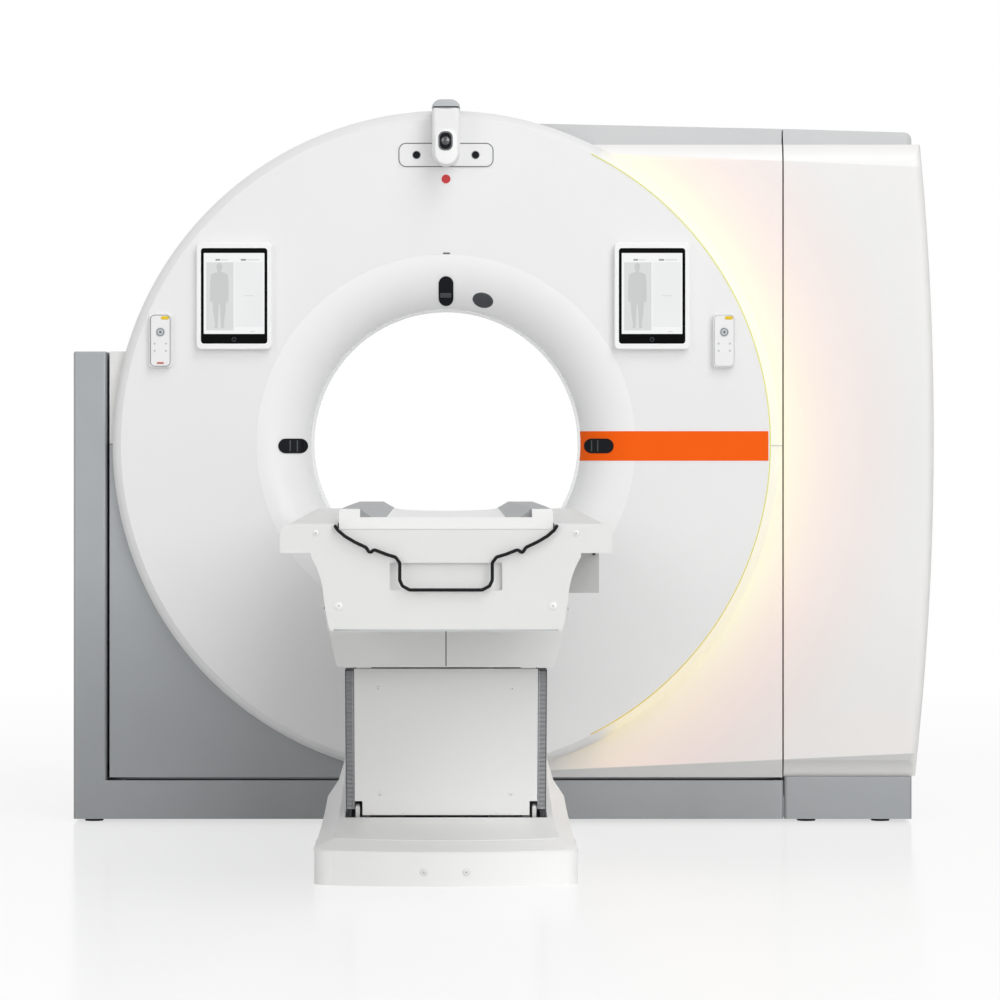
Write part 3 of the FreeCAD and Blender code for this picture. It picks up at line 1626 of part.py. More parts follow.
trough_top = size("trough_top")
trough_bottom = size("trough_bottom")
trough_front = size("trough_front")
trough_rear = size("trough_rear")
cap_rear = trough_front + size("cap_depth")
arm_slot = (size("housing_front") + size("arm_slot_margin"), size("arm_slot_rear"))


def trough_outline(inset, top):
    """The trough's section: sides flared towards the top, over a narrow rounded bottom."""
    upper, waist, lower = (
        size(n) - inset for n in ("trough_top_half_width", "trough_waist", "trough_half_width")
    )
    flare, rounding = trough_top - size("trough_flare"), size("trough_round") - inset
    bottom = trough_bottom + inset
    bend = size("trough_flare_round")
    return [
        (upper, top), (-upper, top), (-upper, trough_top, bend, -1), (-waist, flare),
        (-lower, bottom + rounding, rounding, 1), (-lower + rounding, bottom),
        (lower - rounding, bottom, rounding, 1), (lower, bottom + rounding),
        (waist, flare, bend, -1), (upper, trough_top),
    ]


def flare_outline(inset):
    """The trough's section closed at its top edge."""
    return trough_outline(inset, trough_top)[2:]


def trough_cover():
    """The long white trough under the tabletop, open at its top and rear and slotted for the arm."""
    body = new_body("trough_cover")
    pad(body, "XZ", [flare_outline(as_size(0))], cap_rear, trough_rear)
    inner = trough_outline(size("trough_wall"), trough_top + OVERSHOOT)
    pocket(body, "XZ", [inner], *past((cap_rear, trough_rear)))
    half = size("arm_slot_half_width")
    floor = (trough_bottom, trough_bottom + size("trough_wall"))
    pocket(body, "XY", [rectangle((-half, half), arm_slot)], *past(floor))
    return body


def end_cap():
    """The moulded end of the trough, with a shallow hand recess and a plate up to the tabletop's lip."""
    body = new_body("end_cap")
    pad(body, "XZ", [flare_outline(as_size(0))], trough_front, cap_rear)
    inner = size("wing_inner")
    plate = rectangle((-inner, inner), (trough_top, size("top_edge_bottom") - size("lip_gap")))
    pad(body, "XZ", [plate], trough_front, trough_front + size("cap_plate"))
    half = size("recess_half_width")
    recess = rectangle((-half, half), (size("recess_bottom"), size("recess_top")), size("recess_round"))
    pocket(body, "XZ", [recess], trough_front - OVERSHOOT, trough_front + size("recess_depth"))
    return body


def wing_covers():
    """The two long side covers on the trough, each with a flat top and a rounded shoulder."""
    inner, seat, outer = size("wing_inner"), size("wing_seat"), size("wing_half_width")
    wings = []
    for side, sign in (("left", -1), ("right", 1)):
        body = new_body(side + "_wing")
        outline = [
            (sign * inner, trough_top), (sign * seat, trough_top), (sign * seat, size("wing_bottom")),
            (sign * outer, size("wing_bottom")),
            (sign * outer, size("wing_edge_top"), size("wing_round"), sign),
            (sign * size("wing_shoulder"), size("wing_top")), (sign * inner, size("wing_top")),
        ]
        pad(body, "XZ", [outline], trough_front, size("wing_rear"))
        wings.append(body)
    return fuse("wing_covers", wings)


def carriage_frame():
    """Two steel rails with the arm's upper pins, under a deck that carries the tabletop's guides."""
    rail = size("frame_rail")
    rear = trough_rear - size("frame_rear_gap")
    low = trough_bottom + size("trough_wall")
    deck = trough_top - size("frame_deck")
    half = arm_half + size("side_gap")
    parts = [
        block("left_rail", (-half - rail, -half), (cap_rear, rear), (low, deck)),
        block("right_rail", (half, half + rail), (cap_rear, rear), (low, deck)),
        block("deck", (-half - rail, half + rail), (cap_rear, rear), (deck, trough_top)),
        rod("arm_top_pin", pin, (-half - rail, half + rail), "x", y=arm_top_y, z=arm_top_z),
        rod("link_top_pin", pin, (-half - rail, half + rail), "x", y=link_top_y, z=link_top_z),
    ]
    at, width = size("guide_rail_at"), size("guide_rail_width")
    for n, x in enumerate(((-at - width, -at), (at, at + width))):
        z = (trough_top, trough_top + size("guide_rail_height"))
        parts.append(block(f"guide_{n}", x, (cap_rear, rear), z))
    return fuse("carriage_frame", parts)


def lower_housing():
    """The tapered cover round the top of the arm, open below and behind."""
    body = new_body("lower_housing")
    upper, lower = size("housing_top_half_width"), size("housing_half_width")
    top, bottom = size("housing_top"), size("housing_bottom")
    front, rear = size("housing_front"), size("housing_rear")
    skin = size("trough_wall")
    pad(body, "XZ", [[(-lower, bottom), (lower, bottom), (upper, top), (-upper, top)]], front, rear)
    open_low = bottom - OVERSHOOT
    inner = [
        (-lower + skin, open_low), (lower - skin, open_low),
        (upper - skin, top - skin), (-upper + skin, top - skin),
    ]
    pocket(body, "XZ", [inner], front + skin, rear + OVERSHOOT)
    half = size("arm_slot_half_width")
    pocket(body, "XY", [rectangle((-half, half), arm_slot)], *past((top - skin, top)))
    return body


def side_box():
    """The small box under the right side cover, fitted to the trough's flare."""
    case = block("side_box_case", (size("box_inner"), size("box_outer")),
                 (size("box_front"), size("box_rear")), (size("box_bottom"), size("wing_bottom")))
    trough = new_body("side_box_seat")
    y = past((size("box_front"), size("box_rear")))
    pad(trough, "XZ", [flare_outline(as_size(0))], *y)
    wing_foot = block("wing_foot", (0, size("wing_seat")), y, (trough_top, size("wing_bottom") + OVERSHOOT))
    return cut("side_box", case, [trough, wing_foot])


HANDLE_ROUTE = [
    (226, 812), (221, 804), (207, 792), (186, 779.5), (163.5, 769), (155.5, 757), (147, 764.5), (123, 755),
    (103, 749), (94.5, 737), (94.5, 702), (89, 690), (74, 682),
]


def pull_handle():
    """The bent wire grip at the foot of the table, its ends let into the side covers."""
    y = (trough_front - size("handle_gap")).value
    low = size("handle_bottom").value
    half = [(x, z + low - HANDLE_ROUTE[-1][1]) for x, z in HANDLE_ROUTE]
    spots = [FreeCAD.Vector(-x, y, z) for x, z in half] + [FreeCAD.Vector(x, y, z) for x, z in reversed(half)]
    radius = size("handle_wire").value / 2
    root = trough_front.value
    spots.insert(0, FreeCAD.Vector(spots[0].x, root, spots[0].z))
    spots.append(FreeCAD.Vector(spots[-1].x, root, spots[-1].z))
    wire = rounded_path(spots, 2 * radius)
    profile = Part.Wire(Part.makeCircle(radius, spots[0], spots[1] - spots[0]))
    obj = doc.addObject("Part::Feature", "pull_handle")
    obj.Shape = wire.makePipeShell([profile], True, False)
    return obj


def rounded_path(spots, radius):
    """Straight runs through the points, each corner rounded by a tangent arc."""
    edges = []
    last = spots[0]
    for before, corner, after in zip(spots, spots[1:], spots[2:]):
        into = (corner - before).normalize()
        out = (after - corner).normalize()
        half_turn = into.getAngle(out) / 2
        reach = min(radius * math.tan(half_turn), 0.45 * min(before.distanceToPoint(corner),
                                                             corner.distanceToPoint(after)))
        start, end = corner - into * reach, corner + out * reach
        sharpness = reach / math.tan(half_turn)
        towards = (out - into).normalize()
        middle = corner + towards * (sharpness / math.cos(half_turn) - sharpness)
        edges.append(Part.LineSegment(last, start).toShape())
        edges.append(Part.Arc(start, middle, end).toShape())
        last = end
    edges.append(Part.LineSegment(last, spots[-1]).toShape())
    return Part.Wire(edges)


# the tabletop --------------------------------------------------------------------------------

top_half = size("top_half_width")
cradle_half = top_half - size("top_rail_width")
top_height = size("top_height")


def bow_radius(half_chord, rise):
    """The radius of the arc over a chord with a rise at its middle."""
    return (half_chord * half_chord + rise * rise) / (2 * rise)


def tabletop():
    """The tabletop: a cradle between two rails and behind a front lip, over a curved keel."""
    body = new_body("tabletop")
    keel, keel_z = size("keel_half_width"), size("keel_bottom")
    edge, rounding = size("top_edge_bottom"), size("top_edge_round")
    outline = [
        (-keel, keel_z), (keel, keel_z, size("keel_round"), 1), (top_half, edge),
        (top_half, top_height - rounding, rounding, 1),
        (top_half - rounding, top_height), (-top_half + rounding, top_height, rounding, 1),
        (-top_half, top_height - rounding), (-top_half, edge, size("keel_round"), 1),
    ]
    front, rear, lip = size("top_front"), size("top_rear"), size("lip_rear")
    pad(body, "XZ", [outline], front, rear)
    above = top_height + OVERSHOOT
    cradle = [
        (-cradle_half, above), (-cradle_half, top_height, bow_radius(cradle_half, size("cradle_depth")), 1),
        (cradle_half, top_height), (cradle_half, above),
    ]
    pocket(body, "XZ", [cradle], lip, rear + OVERSHOOT)
    over_lip = rectangle((-cradle_half, cradle_half), (size("lip_top"), above))
    pocket(body, "XZ", [over_lip], front - OVERSHOOT, lip)
    below = rectangle(past((-top_half, top_half)), (keel_z - OVERSHOOT, edge))
    pocket(body, "XZ", [below], front - OVERSHOOT, size("keel_front"))
    wedge = [(lip, top_height), (rear, size("rail_rear_top")), (rear, above), (lip, above)]
    pocket(body, "YZ", [wedge], *past((-top_half, top_half)))
    return body


def table_pad():
    """The long pad that lies in the cradle, dished along its middle."""
    body = new_body("table_pad")
    half = cradle_half - size("pad_inset")
    cradle = bow_radius(cradle_half, size("cradle_depth"))
    edge_z = top_height + side_of(cradle, cradle_half) - side_of(cradle, half)
    top_z = edge_z + size("pad_edge")
    outline = [
        (-half, edge_z, cradle, 1), (half, edge_z),
        (half, top_z, bow_radius(half, size("pad_dip")), -1), (-half, top_z),
    ]
    pad(body, "XZ", [outline], size("lip_rear"), size("pad_rear"))
    return body


# everything ----------------------------------------------------------------------------------


def build():
    """Makes every sub-part, in the order of the bodies that they belong to."""
    beam = size("beam_half_width")
    blade = size("blade_depth")
    parts = [
        base_frame(), levelling_feet(), plinth_cover(), left_post_cover(), tilt_bearings(), tilt_gearmotor(),
        power_cabinet(), tower_cover(), tower_base(), tower_roof(),
        table_base_frame(), table_base_cover(), lift_gearmotor(), cable_duct(),
        tilt_frame(), barrel_shell(), rear_cover(), disc_cover(), front_funnel(), bore_liner(), rear_funnel(),
        lower_left_shoulder(), upper_left_shoulder(), right_shoulder(), roof_cap(), light_strip(),
        camera_pod(), camera_window(), sensor_plate(), room_sensors(), indicator_lamp(),
        laser_windows(), orange_band(),
        main_bearing(), rotor_drum(), slip_ring(), xray_tube(), collimator(), detector_arc(),
        generator_boxes(), collimator_blade("front_blade", (-beam - blade, -beam)),
        collimator_blade("rear_blade", (beam, beam + blade)),
        lift_arm(), arm_panel(), side_gaiters(), lift_links(), trough_cover(), end_cap(), wing_covers(),
        carriage_frame(), lower_housing(), side_box(), pull_handle(), tabletop(), table_pad(),
    ]
    parts += [
        pair("tablet_cases", tablet_case, tablet_spots), pair("tablet_screens", tablet_screen, tablet_spots),
        pair("remote_cases", remote_case, remote_spots),
    ]
    return parts + [remote_key(side, x) for side, x in remote_spots]


def check_and_write(parts):
    """Stops if any object failed, then writes each sub-part to its own file."""
    doc.recompute()
    failed = [obj.Name for obj in doc.Objects if {"Invalid", "Error"} & set(obj.State)]
    if failed:
        raise RuntimeError(f"failed objects: {failed}")
    os.makedirs("parts", exist_ok=True)
    for part in parts:
        shape = part.Shape
        if shape.isNull() or not shape.isValid() or not shape.Solids:
            raise RuntimeError(f"{part.Label} has no valid solid")
        shape.exportStep(f"parts/{part.Label}.step")
        box = shape.BoundBox
        print(f"{part.Label}: {len(shape.Solids)} solids, {shape.Volume / 1e6:.3f} litres, "
              f"x {box.XMin:.0f} {box.XMax:.0f} y {box.YMin:.0f} {box.YMax:.0f} "
              f"z {box.ZMin:.0f} {box.ZMax:.0f}")


check_and_write(build())
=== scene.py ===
import math

import bpy
import numpy as np
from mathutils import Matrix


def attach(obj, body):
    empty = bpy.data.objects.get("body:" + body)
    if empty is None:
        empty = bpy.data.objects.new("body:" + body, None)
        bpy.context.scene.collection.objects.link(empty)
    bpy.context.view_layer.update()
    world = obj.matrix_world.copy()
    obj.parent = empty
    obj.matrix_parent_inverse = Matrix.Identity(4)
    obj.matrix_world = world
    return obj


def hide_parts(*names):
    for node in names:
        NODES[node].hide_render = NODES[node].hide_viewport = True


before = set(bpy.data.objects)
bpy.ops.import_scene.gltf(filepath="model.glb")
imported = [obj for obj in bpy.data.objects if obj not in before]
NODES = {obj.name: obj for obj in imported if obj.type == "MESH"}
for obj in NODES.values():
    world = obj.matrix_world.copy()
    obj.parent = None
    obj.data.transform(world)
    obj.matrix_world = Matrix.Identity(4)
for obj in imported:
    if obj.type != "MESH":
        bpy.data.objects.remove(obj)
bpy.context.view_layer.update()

# the sizes that the new pieces share, in metres ----------------------------------------------

AXIS_Z = 0.980  # the bore's axis over the floor
FACE_Y = -0.250  # the disc's face
HOUSING_Y = -0.190  # the front of the housing beside the disc
PLATE_Y = -0.252  # the sensor plate's face
POD_Y = -0.340  # the camera pod's front
GLASS_Y = -0.2735  # the tablets' glass
REMOTE_Y = -0.270  # the remotes' faces
KEY_Y = -0.272  # the faces of their main keys
TABLET_X = (-0.545, 0.530)  # the middles of the left and the right one
REMOTE_X = (-0.735, 0.716)
CAP_Y = -2.408  # the face of the table's end cap
FOOT_Y = -1.731  # the foot's front, at its middle
FOOT_TOP_Y = -1.652  # where the foot's bevel meets its top
REAR_Y = 0.400  # the gantry's rear cover
BACK_Y = 0.440  # the backs of tower and post

BEAD_SIDES = 10  # sides of a round line's section
TONE_CLOUDS = 1.4  # waves of a paint's drift in tone per metre


# surfaces ------------------------------------------------------------------------------------


def skin(name, points, body, finish, loop_u=False, loop_v=False, cap_v=False, smooth=True):
    """A grid of points (rows u, columns v) as one mesh: quad (i, j) joins rows i, i+1 and columns j, j+1.

    A looped direction joins its last line to its first; cap_v closes the first and last column with one
    many-sided face each.
    """
    rows, columns = points.shape[:2]
    number = np.arange(rows * columns).reshape(rows, columns)
    i = np.arange(rows if loop_u else rows - 1)
    j = np.arange(columns if loop_v else columns - 1)
    here, there = np.meshgrid(i, j, indexing="ij")
    up, on = (here + 1) % rows, (there + 1) % columns
    quads = np.stack([number[here, there], number[up, there], number[up, on], number[here, on]], axis=-1)
    faces = quads.reshape(-1, 4).tolist()
    if cap_v:
        faces += [number[::-1, 0].tolist(), number[:, -1].tolist()]
    mesh = bpy.data.meshes.new(name)
    mesh.from_pydata(points.reshape(-1, 3).tolist(), [], faces)
    mesh.validate()
    mesh.polygons.foreach_set("use_smooth", np.full(len(mesh.polygons), smooth))
    mesh.materials.append(finish)
    piece = bpy.data.objects.new(name, mesh)
    bpy.context.scene.collection.objects.link(piece)
    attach(piece, body)
    return piece


def round_box(x, z, wide, high, corner, steps=8):
    """The outline of a box with quarter-circle corners, anticlockwise: centre + corner * (cos a, sin a)."""
    corner = min(corner, wide / 2, high / 2)
    turn = np.linspace(0, math.pi / 2, steps)
    spots = []
    for n, (sx, sz) in enumerate(((1, 1), (-1, 1), (-1, -1), (1, -1))):
        angle = turn + n * math.pi / 2
        spots.append(np.stack([
            x + sx * (wide / 2 - corner) + corner * np.cos(angle),
            z + sz * (high / 2 - corner) + corner * np.sin(angle),
        ], axis=-1))
    outline = np.concatenate(spots)
    apart = np.linalg.norm(outline - np.roll(outline, 1, axis=0), axis=1)
    return outline[apart > 1e-7]


def ring_of(x, z, radius, across=None, steps=32, tilt=0.0):
    """An ellipse about (x, z), turned by tilt: radius * cos a along it and across * sin a over it."""
    angle = np.arange(steps) * 2 * math.pi / steps
    along, over = radius * np.cos(angle), (across or radius) * np.sin(angle)
    return np.stack([
        x + along * math.cos(tilt) - over * math.sin(tilt),
        z + along * math.sin(tilt) + over * math.cos(tilt),
    ], axis=-1)


def outward(outline):
    """The unit normals of a closed anticlockwise outline: each point's chord, turned by 90 degrees.

    The chord runs from the point's neighbour on one side to that on the other.
    """
    chord = np.roll(outline, -1, axis=0) - np.roll(outline, 1, axis=0)
    chord /= np.maximum(np.linalg.norm(chord, axis=1, keepdims=True), 1e-9)
    return np.stack([chord[:, 1], -chord[:, 0]], axis=-1)


def button(name, outline, base, proud, edge, body, finish, dome=0.0, lay=None):
    """A low button that faces -Y: its outline drawn in by edge * (1 - cos a) as it rises by edge * sin a.

    dome lifts the middle further by dome * (1 - t * t), t running from the middle to the rounded edge, and
    lay moves the finished points to another face.
    """
    outline = np.asarray(outline, float)
    middle = outline.mean(axis=0)
    normal = outward(outline)
    turn = np.linspace(0, math.pi / 2, 5)
    rings = [(outline, base), *[
        (outline - normal * edge * (1 - math.cos(a)), base - (proud - edge) - edge * math.sin(a))
        for a in turn
    ]]
    top = rings[-1][0]
    if dome:
        rings += [
            (middle + (top - middle) * t, base - proud - dome * (1 - t * t)) for t in (0.75, 0.5, 0.25)
        ]
    points = np.stack([
        np.stack([ring[:, 0], np.full(len(ring), y), ring[:, 1]], axis=-1) for ring, y in rings
    ], axis=1)
    return skin(name, lay(points) if lay else points, body, finish, loop_u=True, cap_v=True)


def bead(name, path, radius, body, finish, closed=True, flat=1.0, deep=(0.0, 1.0, 0.0)):
    """A round line carried along a path of 3-D points: centre + radius * (cos a * n + sin a * b).

    n lies square to the path and to deep, and b, flattened by flat, points along deep as nearly as it can.
    """
    path = np.asarray(path, float)
    if closed:
        chord = np.roll(path, -1, axis=0) - np.roll(path, 1, axis=0)
    else:
        chord = np.gradient(path, axis=0)
    chord /= np.linalg.norm(chord, axis=1, keepdims=True)
    side = np.cross(chord, np.array(deep))
    side /= np.maximum(np.linalg.norm(side, axis=1, keepdims=True), 1e-9)
    over = np.cross(chord, side) * flat
    angle = np.arange(BEAD_SIDES) * 2 * math.pi / BEAD_SIDES
    points = (
        path[:, None, :]
        + radius * np.cos(angle)[None, :, None] * side[:, None, :]
        + radius * np.sin(angle)[None, :, None] * over[:, None, :]
    )
    points = np.swapaxes(points, 0, 1)
    return skin(name, points, body, finish, loop_u=True, loop_v=closed, cap_v=not closed)


def line_round(name, outline, y, radius, body, finish, flat=0.5):
    """A thin raised line round a flat outline that faces -Y, half of it let into the face."""
    outline = np.asarray(outline, float)
    path = np.stack([outline[:, 0], np.full(len(outline), y), outline[:, 1]], axis=-1)
    return bead(name, path, radius, body, finish, flat=flat)


# finishes ------------------------------------------------------------------------------------


def linear(colour):
    """An sRGB hex colour as linear red, green, blue and alpha."""
    parts = np.array([int(colour[n:n + 2], 16) / 255 for n in (1, 3, 5)])
    parts = np.where(parts <= 0.04045, parts / 12.92, ((parts + 0.055) / 1.055) ** 2.4)
    return (*parts.tolist(), 1.0)


def add(tree, kind, settings=None, links=None):
    """Adds one shader node with its settings and links.

    A setting whose key is an attribute of the node is set there, and any other goes to the input of that
    name or number. A link is an output socket.
    """
    made = tree.nodes.new("ShaderNode" + kind)
    for key, value in (settings or {}).items():
        if isinstance(key, str) and hasattr(made, key):
            setattr(made, key, value)
        else:
            made.inputs[key].default_value = value
    for key, source in (links or {}).items():
        tree.links.new(source, made.inputs[key])
    return made


def new_finish(name):
    """An empty material and its tree, output and Object coordinates."""
    material = bpy.data.materials.new(name)
    material.use_nodes = True
    tree = material.node_tree
    tree.nodes.clear()
    return material, tree, add(tree, "OutputMaterial"), add(tree, "TexCoord").outputs["Object"]


def ramp(tree, source, stops):
    """Source through a colour ramp, stops being (position, sRGB hex)."""
    made = add(tree, "ValToRGB", {}, {"Fac": source})
    elements = made.color_ramp.elements
    while len(elements) < len(stops):
        elements.new(0.5)
    for element, (position, colour) in zip(elements, stops):
        element.position = position
        element.color = linear(colour)
    return made.outputs["Color"]


def coated(name, low, high, rough, grain, depth, rough_swing=0.05, stretch=(1, 1, 1), **sockets):
    """A finish whose tone drifts between two near colours and whose surface has a fine grain.

    grain is the bump's spacing and depth its height, in metres; stretch below 1 draws the grain out that way.
    """
    material, tree, output, spot = new_finish(name)
    drift = add(tree, "TexNoise", {"Scale": TONE_CLOUDS, "Detail": 3.0, "Roughness": 0.55}, {"Vector": spot})
    tone = ramp(tree, drift.outputs["Fac"], [(0.32, low), (0.68, high)])
    laid = add(tree, "Mapping", {"Scale": stretch}, {"Vector": spot})
    fine = add(tree, "TexNoise", {"Scale": 1 / grain, "Detail": 2.0}, {"Vector": laid.outputs["Vector"]})
    dull = add(tree, "MapRange", {"To Min": rough - rough_swing, "To Max": rough + rough_swing},
               {"Value": fine.outputs["Fac"]})
    bump = add(tree, "Bump", {"Strength": 0.35, "Distance": depth}, {"Height": fine.outputs["Fac"]})
    shader = add(tree, "BsdfPrincipled", sockets, {
        "Base Color": tone, "Roughness": dull.outputs["Result"], "Normal": bump.outputs["Normal"],
    })
    tree.links.new(shader.outputs["BSDF"], output.inputs["Surface"])
    return material, tree, shader, spot


def product(tree, one, other):
    """The product of two values."""
    return add(tree, "Math", {"operation": "MULTIPLY"}, {0: one, 1: other}).outputs["Value"]


def less(tree, one, other):
    """One value less another, kept between 0 and 1."""
    made = add(tree, "Math", {"operation": "SUBTRACT", "use_clamp": True}, {0: one, 1: other})
    return made.outputs["Value"]


def glowing_cover(name, low, high, under, rough):
    """Satin white paint with the light of the warm strip beside it painted in as a glow.

    The painted spill falls from yellow to rose with the distance from the disc's edge, on the front and to
    the right, between two creases that slope across the front. Over the upper crease a painted highlight
    makes the front brighter, and under the lower one it turns to under, the colour of a painted shade.
    """
    # each crease: its slope, and the Z at X = 0 where its change of tone starts and ends, a painted highlight
    # over the upper crease and painted shade under the lower one
    creases = ((0.0433, 1.7503, 1.7533), (-0.0467, 0.1229, 0.1199))
    material, tree, shader, spot = coated(name, low, high, rough, 0.006, 0.00012)
    split = add(tree, "SeparateXYZ", {}, {"Vector": spot})
    rise = add(tree, "Math", {"operation": "SUBTRACT", 1: AXIS_Z}, {0: split.outputs["Z"]})
    flat = add(tree, "CombineXYZ", {}, {"X": split.outputs["X"], "Y": rise.outputs["Value"]})
    radius = add(tree, "VectorMath", {"operation": "LENGTH"}, {0: flat.outputs["Vector"]})
    reach = add(tree, "MapRange", {"From Min": 0.84, "From Max": 1.29}, {"Value": radius.outputs["Value"]})
    fall = ramp(tree, reach.outputs["Result"], [
        (0.08, "#7d711d"), (0.20, "#7d5c18"), (0.38, "#6f402d"), (0.58, "#55312c"), (0.84, "#404041"),
    ])
    depth = add(tree, "MapRange", {"From Min": 0.20, "From Max": 0.60}, {"Value": split.outputs["Z"]})
    warm = ramp(tree, depth.outputs["Result"], [(0.0, "#f4d8c8"), (1.0, "#ffffff")])
    tinted = add(tree, "VectorMath", {"operation": "MULTIPLY"}, {0: fall, 1: warm})
    side = add(tree, "MapRange", {"From Min": 0.26, "From Max": 0.42}, {"Value": split.outputs["X"]})
    front = add(tree, "MapRange", {"From Min": -0.178, "From Max": -0.189}, {"Value": split.outputs["Y"]})
    shown = []
    for slope, start, end in creases:
        line = add(tree, "Math", {"operation": "MULTIPLY_ADD", 1: slope},
                   {0: split.outputs["X"], 2: split.outputs["Z"]})
        past = add(tree, "MapRange", {"From Min": start, "From Max": end}, {"Value": line.outputs["Value"]})
        shown.append(product(tree, past.outputs["Result"], front.outputs["Result"]))
    above, below = shown
    near = product(tree, side.outputs["Result"], front.outputs["Result"])
    share = less(tree, less(tree, near, above), below)
    spill = add(tree, "VectorMath", {"operation": "SCALE"}, {0: tinted.outputs["Vector"], "Scale": share})
    # the painted highlight over the upper crease
    band = add(tree, "VectorMath", {"operation": "SCALE", 0: (0.15, 0.15, 0.16)}, {"Scale": above})
    glow = add(tree, "VectorMath", {"operation": "ADD"},
               {0: spill.outputs["Vector"], 1: band.outputs["Vector"]})
    tree.links.new(glow.outputs["Vector"], shader.inputs["Emission Color"])
    shader.inputs["Emission Strength"].default_value = 1.0
    # the deeper colour under the lower crease, under, is painted shade
    turned = add(tree, "Mix", {"data_type": "RGBA", 7: linear(under)},
                 {0: below, 6: shader.inputs["Base Color"].links[0].from_socket})
    tree.links.new(turned.outputs[2], shader.inputs["Base Color"])
    return material


def painted_light_and_shade_by_height(made, low, high, dark, light):
    """Scales a coated finish's colour from dark at height low to light at height high: light and shade
    painted in by height.
    """
    material, tree, shader, spot = made
    parts = add(tree, "SeparateXYZ", {}, {"Vector": spot})
    tone = add(tree, "MapRange", {"From Min": low, "From Max": high, "To Min": dark, "To Max": light},
               {"Value": parts.outputs["Z"]})
    scaled = add(tree, "VectorMath", {"operation": "SCALE"},
                 {0: shader.inputs["Base Color"].links[0].from_socket, "Scale": tone.outputs["Result"]})
    tree.links.new(scaled.outputs["Vector"], shader.inputs["Base Color"])
    return material


def painted_shade_behind(name, low, high, rear, split, rough, grain, depth, **sockets):
    """A coated finish in front of Y = split that turns into a single deeper colour, a painted shade, within 1
    mm behind it.
    """
    material, tree, shader, spot = coated(name, low, high, rough, grain, depth, **sockets)
    parts = add(tree, "SeparateXYZ", {}, {"Vector": spot})
    behind = add(tree, "MapRange", {"From Min": split - 0.0005, "From Max": split + 0.0005},
                 {"Value": parts.outputs["Y"]})
    mixed = add(tree, "Mix", {"data_type": "RGBA", 7: linear(rear)},
                {0: behind.outputs["Result"], 6: shader.inputs["Base Color"].links[0].from_socket})
    tree.links.new(mixed.outputs[2], shader.inputs["Base Color"])
    return material


def brushed(name, low, high, rough):
    """Ground steel: fine lines 0.4 mm apart along X, drawn 2 mm apart so that they show."""
    return coated(name, low, high, rough, 0.002, 0.00008, stretch=(0.06, 1, 1), Metallic=1.0)[0]


def lit(name, colour, strength, low, high, foot="#ffffff", ends=None):
    """A frosted light guide or lens lit from inside: its glow drifts a little along its length.

    ends, if given, is the pair of X between which the glow rises from none to all, foot its tint low down.
    """
    material, tree, output, spot = new_finish(name)
    drift = add(tree, "TexNoise", {"Scale": 3.0, "Detail": 1.0}, {"Vector": spot})
    tone = ramp(tree, drift.outputs["Fac"], [(0.35, low), (0.65, high)])
    shader = add(tree, "BsdfPrincipled", {
        "Base Color": linear(colour), "Roughness": 0.45, "Emission Strength": strength,
    })
    if ends:
        parts = add(tree, "SeparateXYZ", {}, {"Vector": spot})
        run = add(tree, "MapRange", {"From Min": ends[0], "From Max": ends[1]}, {"Value": parts.outputs["X"]})
        height = add(tree, "MapRange", {"From Min": 0.20, "From Max": 0.90}, {"Value": parts.outputs["Z"]})
        warm = ramp(tree, height.outputs["Result"], [(0.0, foot), (1.0, "#ffffff")])
        tinted = add(tree, "VectorMath", {"operation": "MULTIPLY"}, {0: tone, 1: warm})
        tone = add(tree, "VectorMath", {"operation": "SCALE"},
                   {0: tinted.outputs["Vector"], "Scale": run.outputs["Result"]}).outputs["Vector"]
        body = ramp(tree, run.outputs["Result"], [(0.0, "#f0f0f0"), (1.0, colour)])
        tree.links.new(body, shader.inputs["Base Color"])
    tree.links.new(tone, shader.inputs["Emission Color"])
    tree.links.new(shader.outputs["BSDF"], output.inputs["Surface"])
    return material


def screen_panel(name, low, high):
    """A field of the backlit screen picture under gloss glass."""
    material, tree, output, spot = new_finish(name)
    drift = add(tree, "TexNoise", {"Scale": 9.0, "Detail": 1.0}, {"Vector": spot})
    tone = ramp(tree, drift.outputs["Fac"], [(0.3, low), (0.7, high)])
    shader = add(tree, "BsdfPrincipled", {
        "Base Color": linear("#3a3c40"), "Roughness": 0.12, "Emission Strength": 0.9,
    }, {"Emission Color": tone})
    tree.links.new(shader.outputs["BSDF"], output.inputs["Surface"])
    return material


THIN_COAT = {"Coat Weight": 0.08, "Coat Roughness": 0.3}
FULL_COAT = {"Coat Weight": 0.12, "Coat Roughness": 0.25}

# satin two-pack paint over moulded composite: broad soft highlights, orange peel of 3 mm, drawn 6 mm
disc_paint = coated("satin_cool_white_paint_on_moulded_cover", "#ebebeb", "#eeeeee", 0.42, 0.006, 0.00012,
                    IOR=1.5, **FULL_COAT)[0]
# the same paint on the housing, with the strip's light painted on as a glow, a painted highlight over the
# upper crease and painted shade under the lower one
housing_paint = glowing_cover("satin_white_paint_lit_by_the_strip", "#e3e3e1", "#e7e6e4", "#c8c8c7", 0.42)
# satin white paint on the patient table's moulded covers: a shade warmer and duller than the face
table_paint = coated("satin_white_paint_on_table_covers", "#dededd", "#e2e2e1", 0.45, 0.005, 0.00012, IOR=1.5,
                     **THIN_COAT)[0]
# whiter satin paints: the table's foot, and the panel over its arm, darker to its top with painted shade
# under the table's overhang
foot_paint = coated("satin_bright_white_paint_on_foot", "#f7f7f6", "#fafaf9", 0.45, 0.005, 0.00012, IOR=1.5,
                    **THIN_COAT)[0]
panel_paint = painted_light_and_shade_by_height(
    coated("satin_white_paint_on_arm_panel", "#f2f2f1", "#f5f5f4", 0.45, 0.005, 0.00012, IOR=1.5,
           **THIN_COAT),
    0.15, 0.50, 0.99, 0.86)
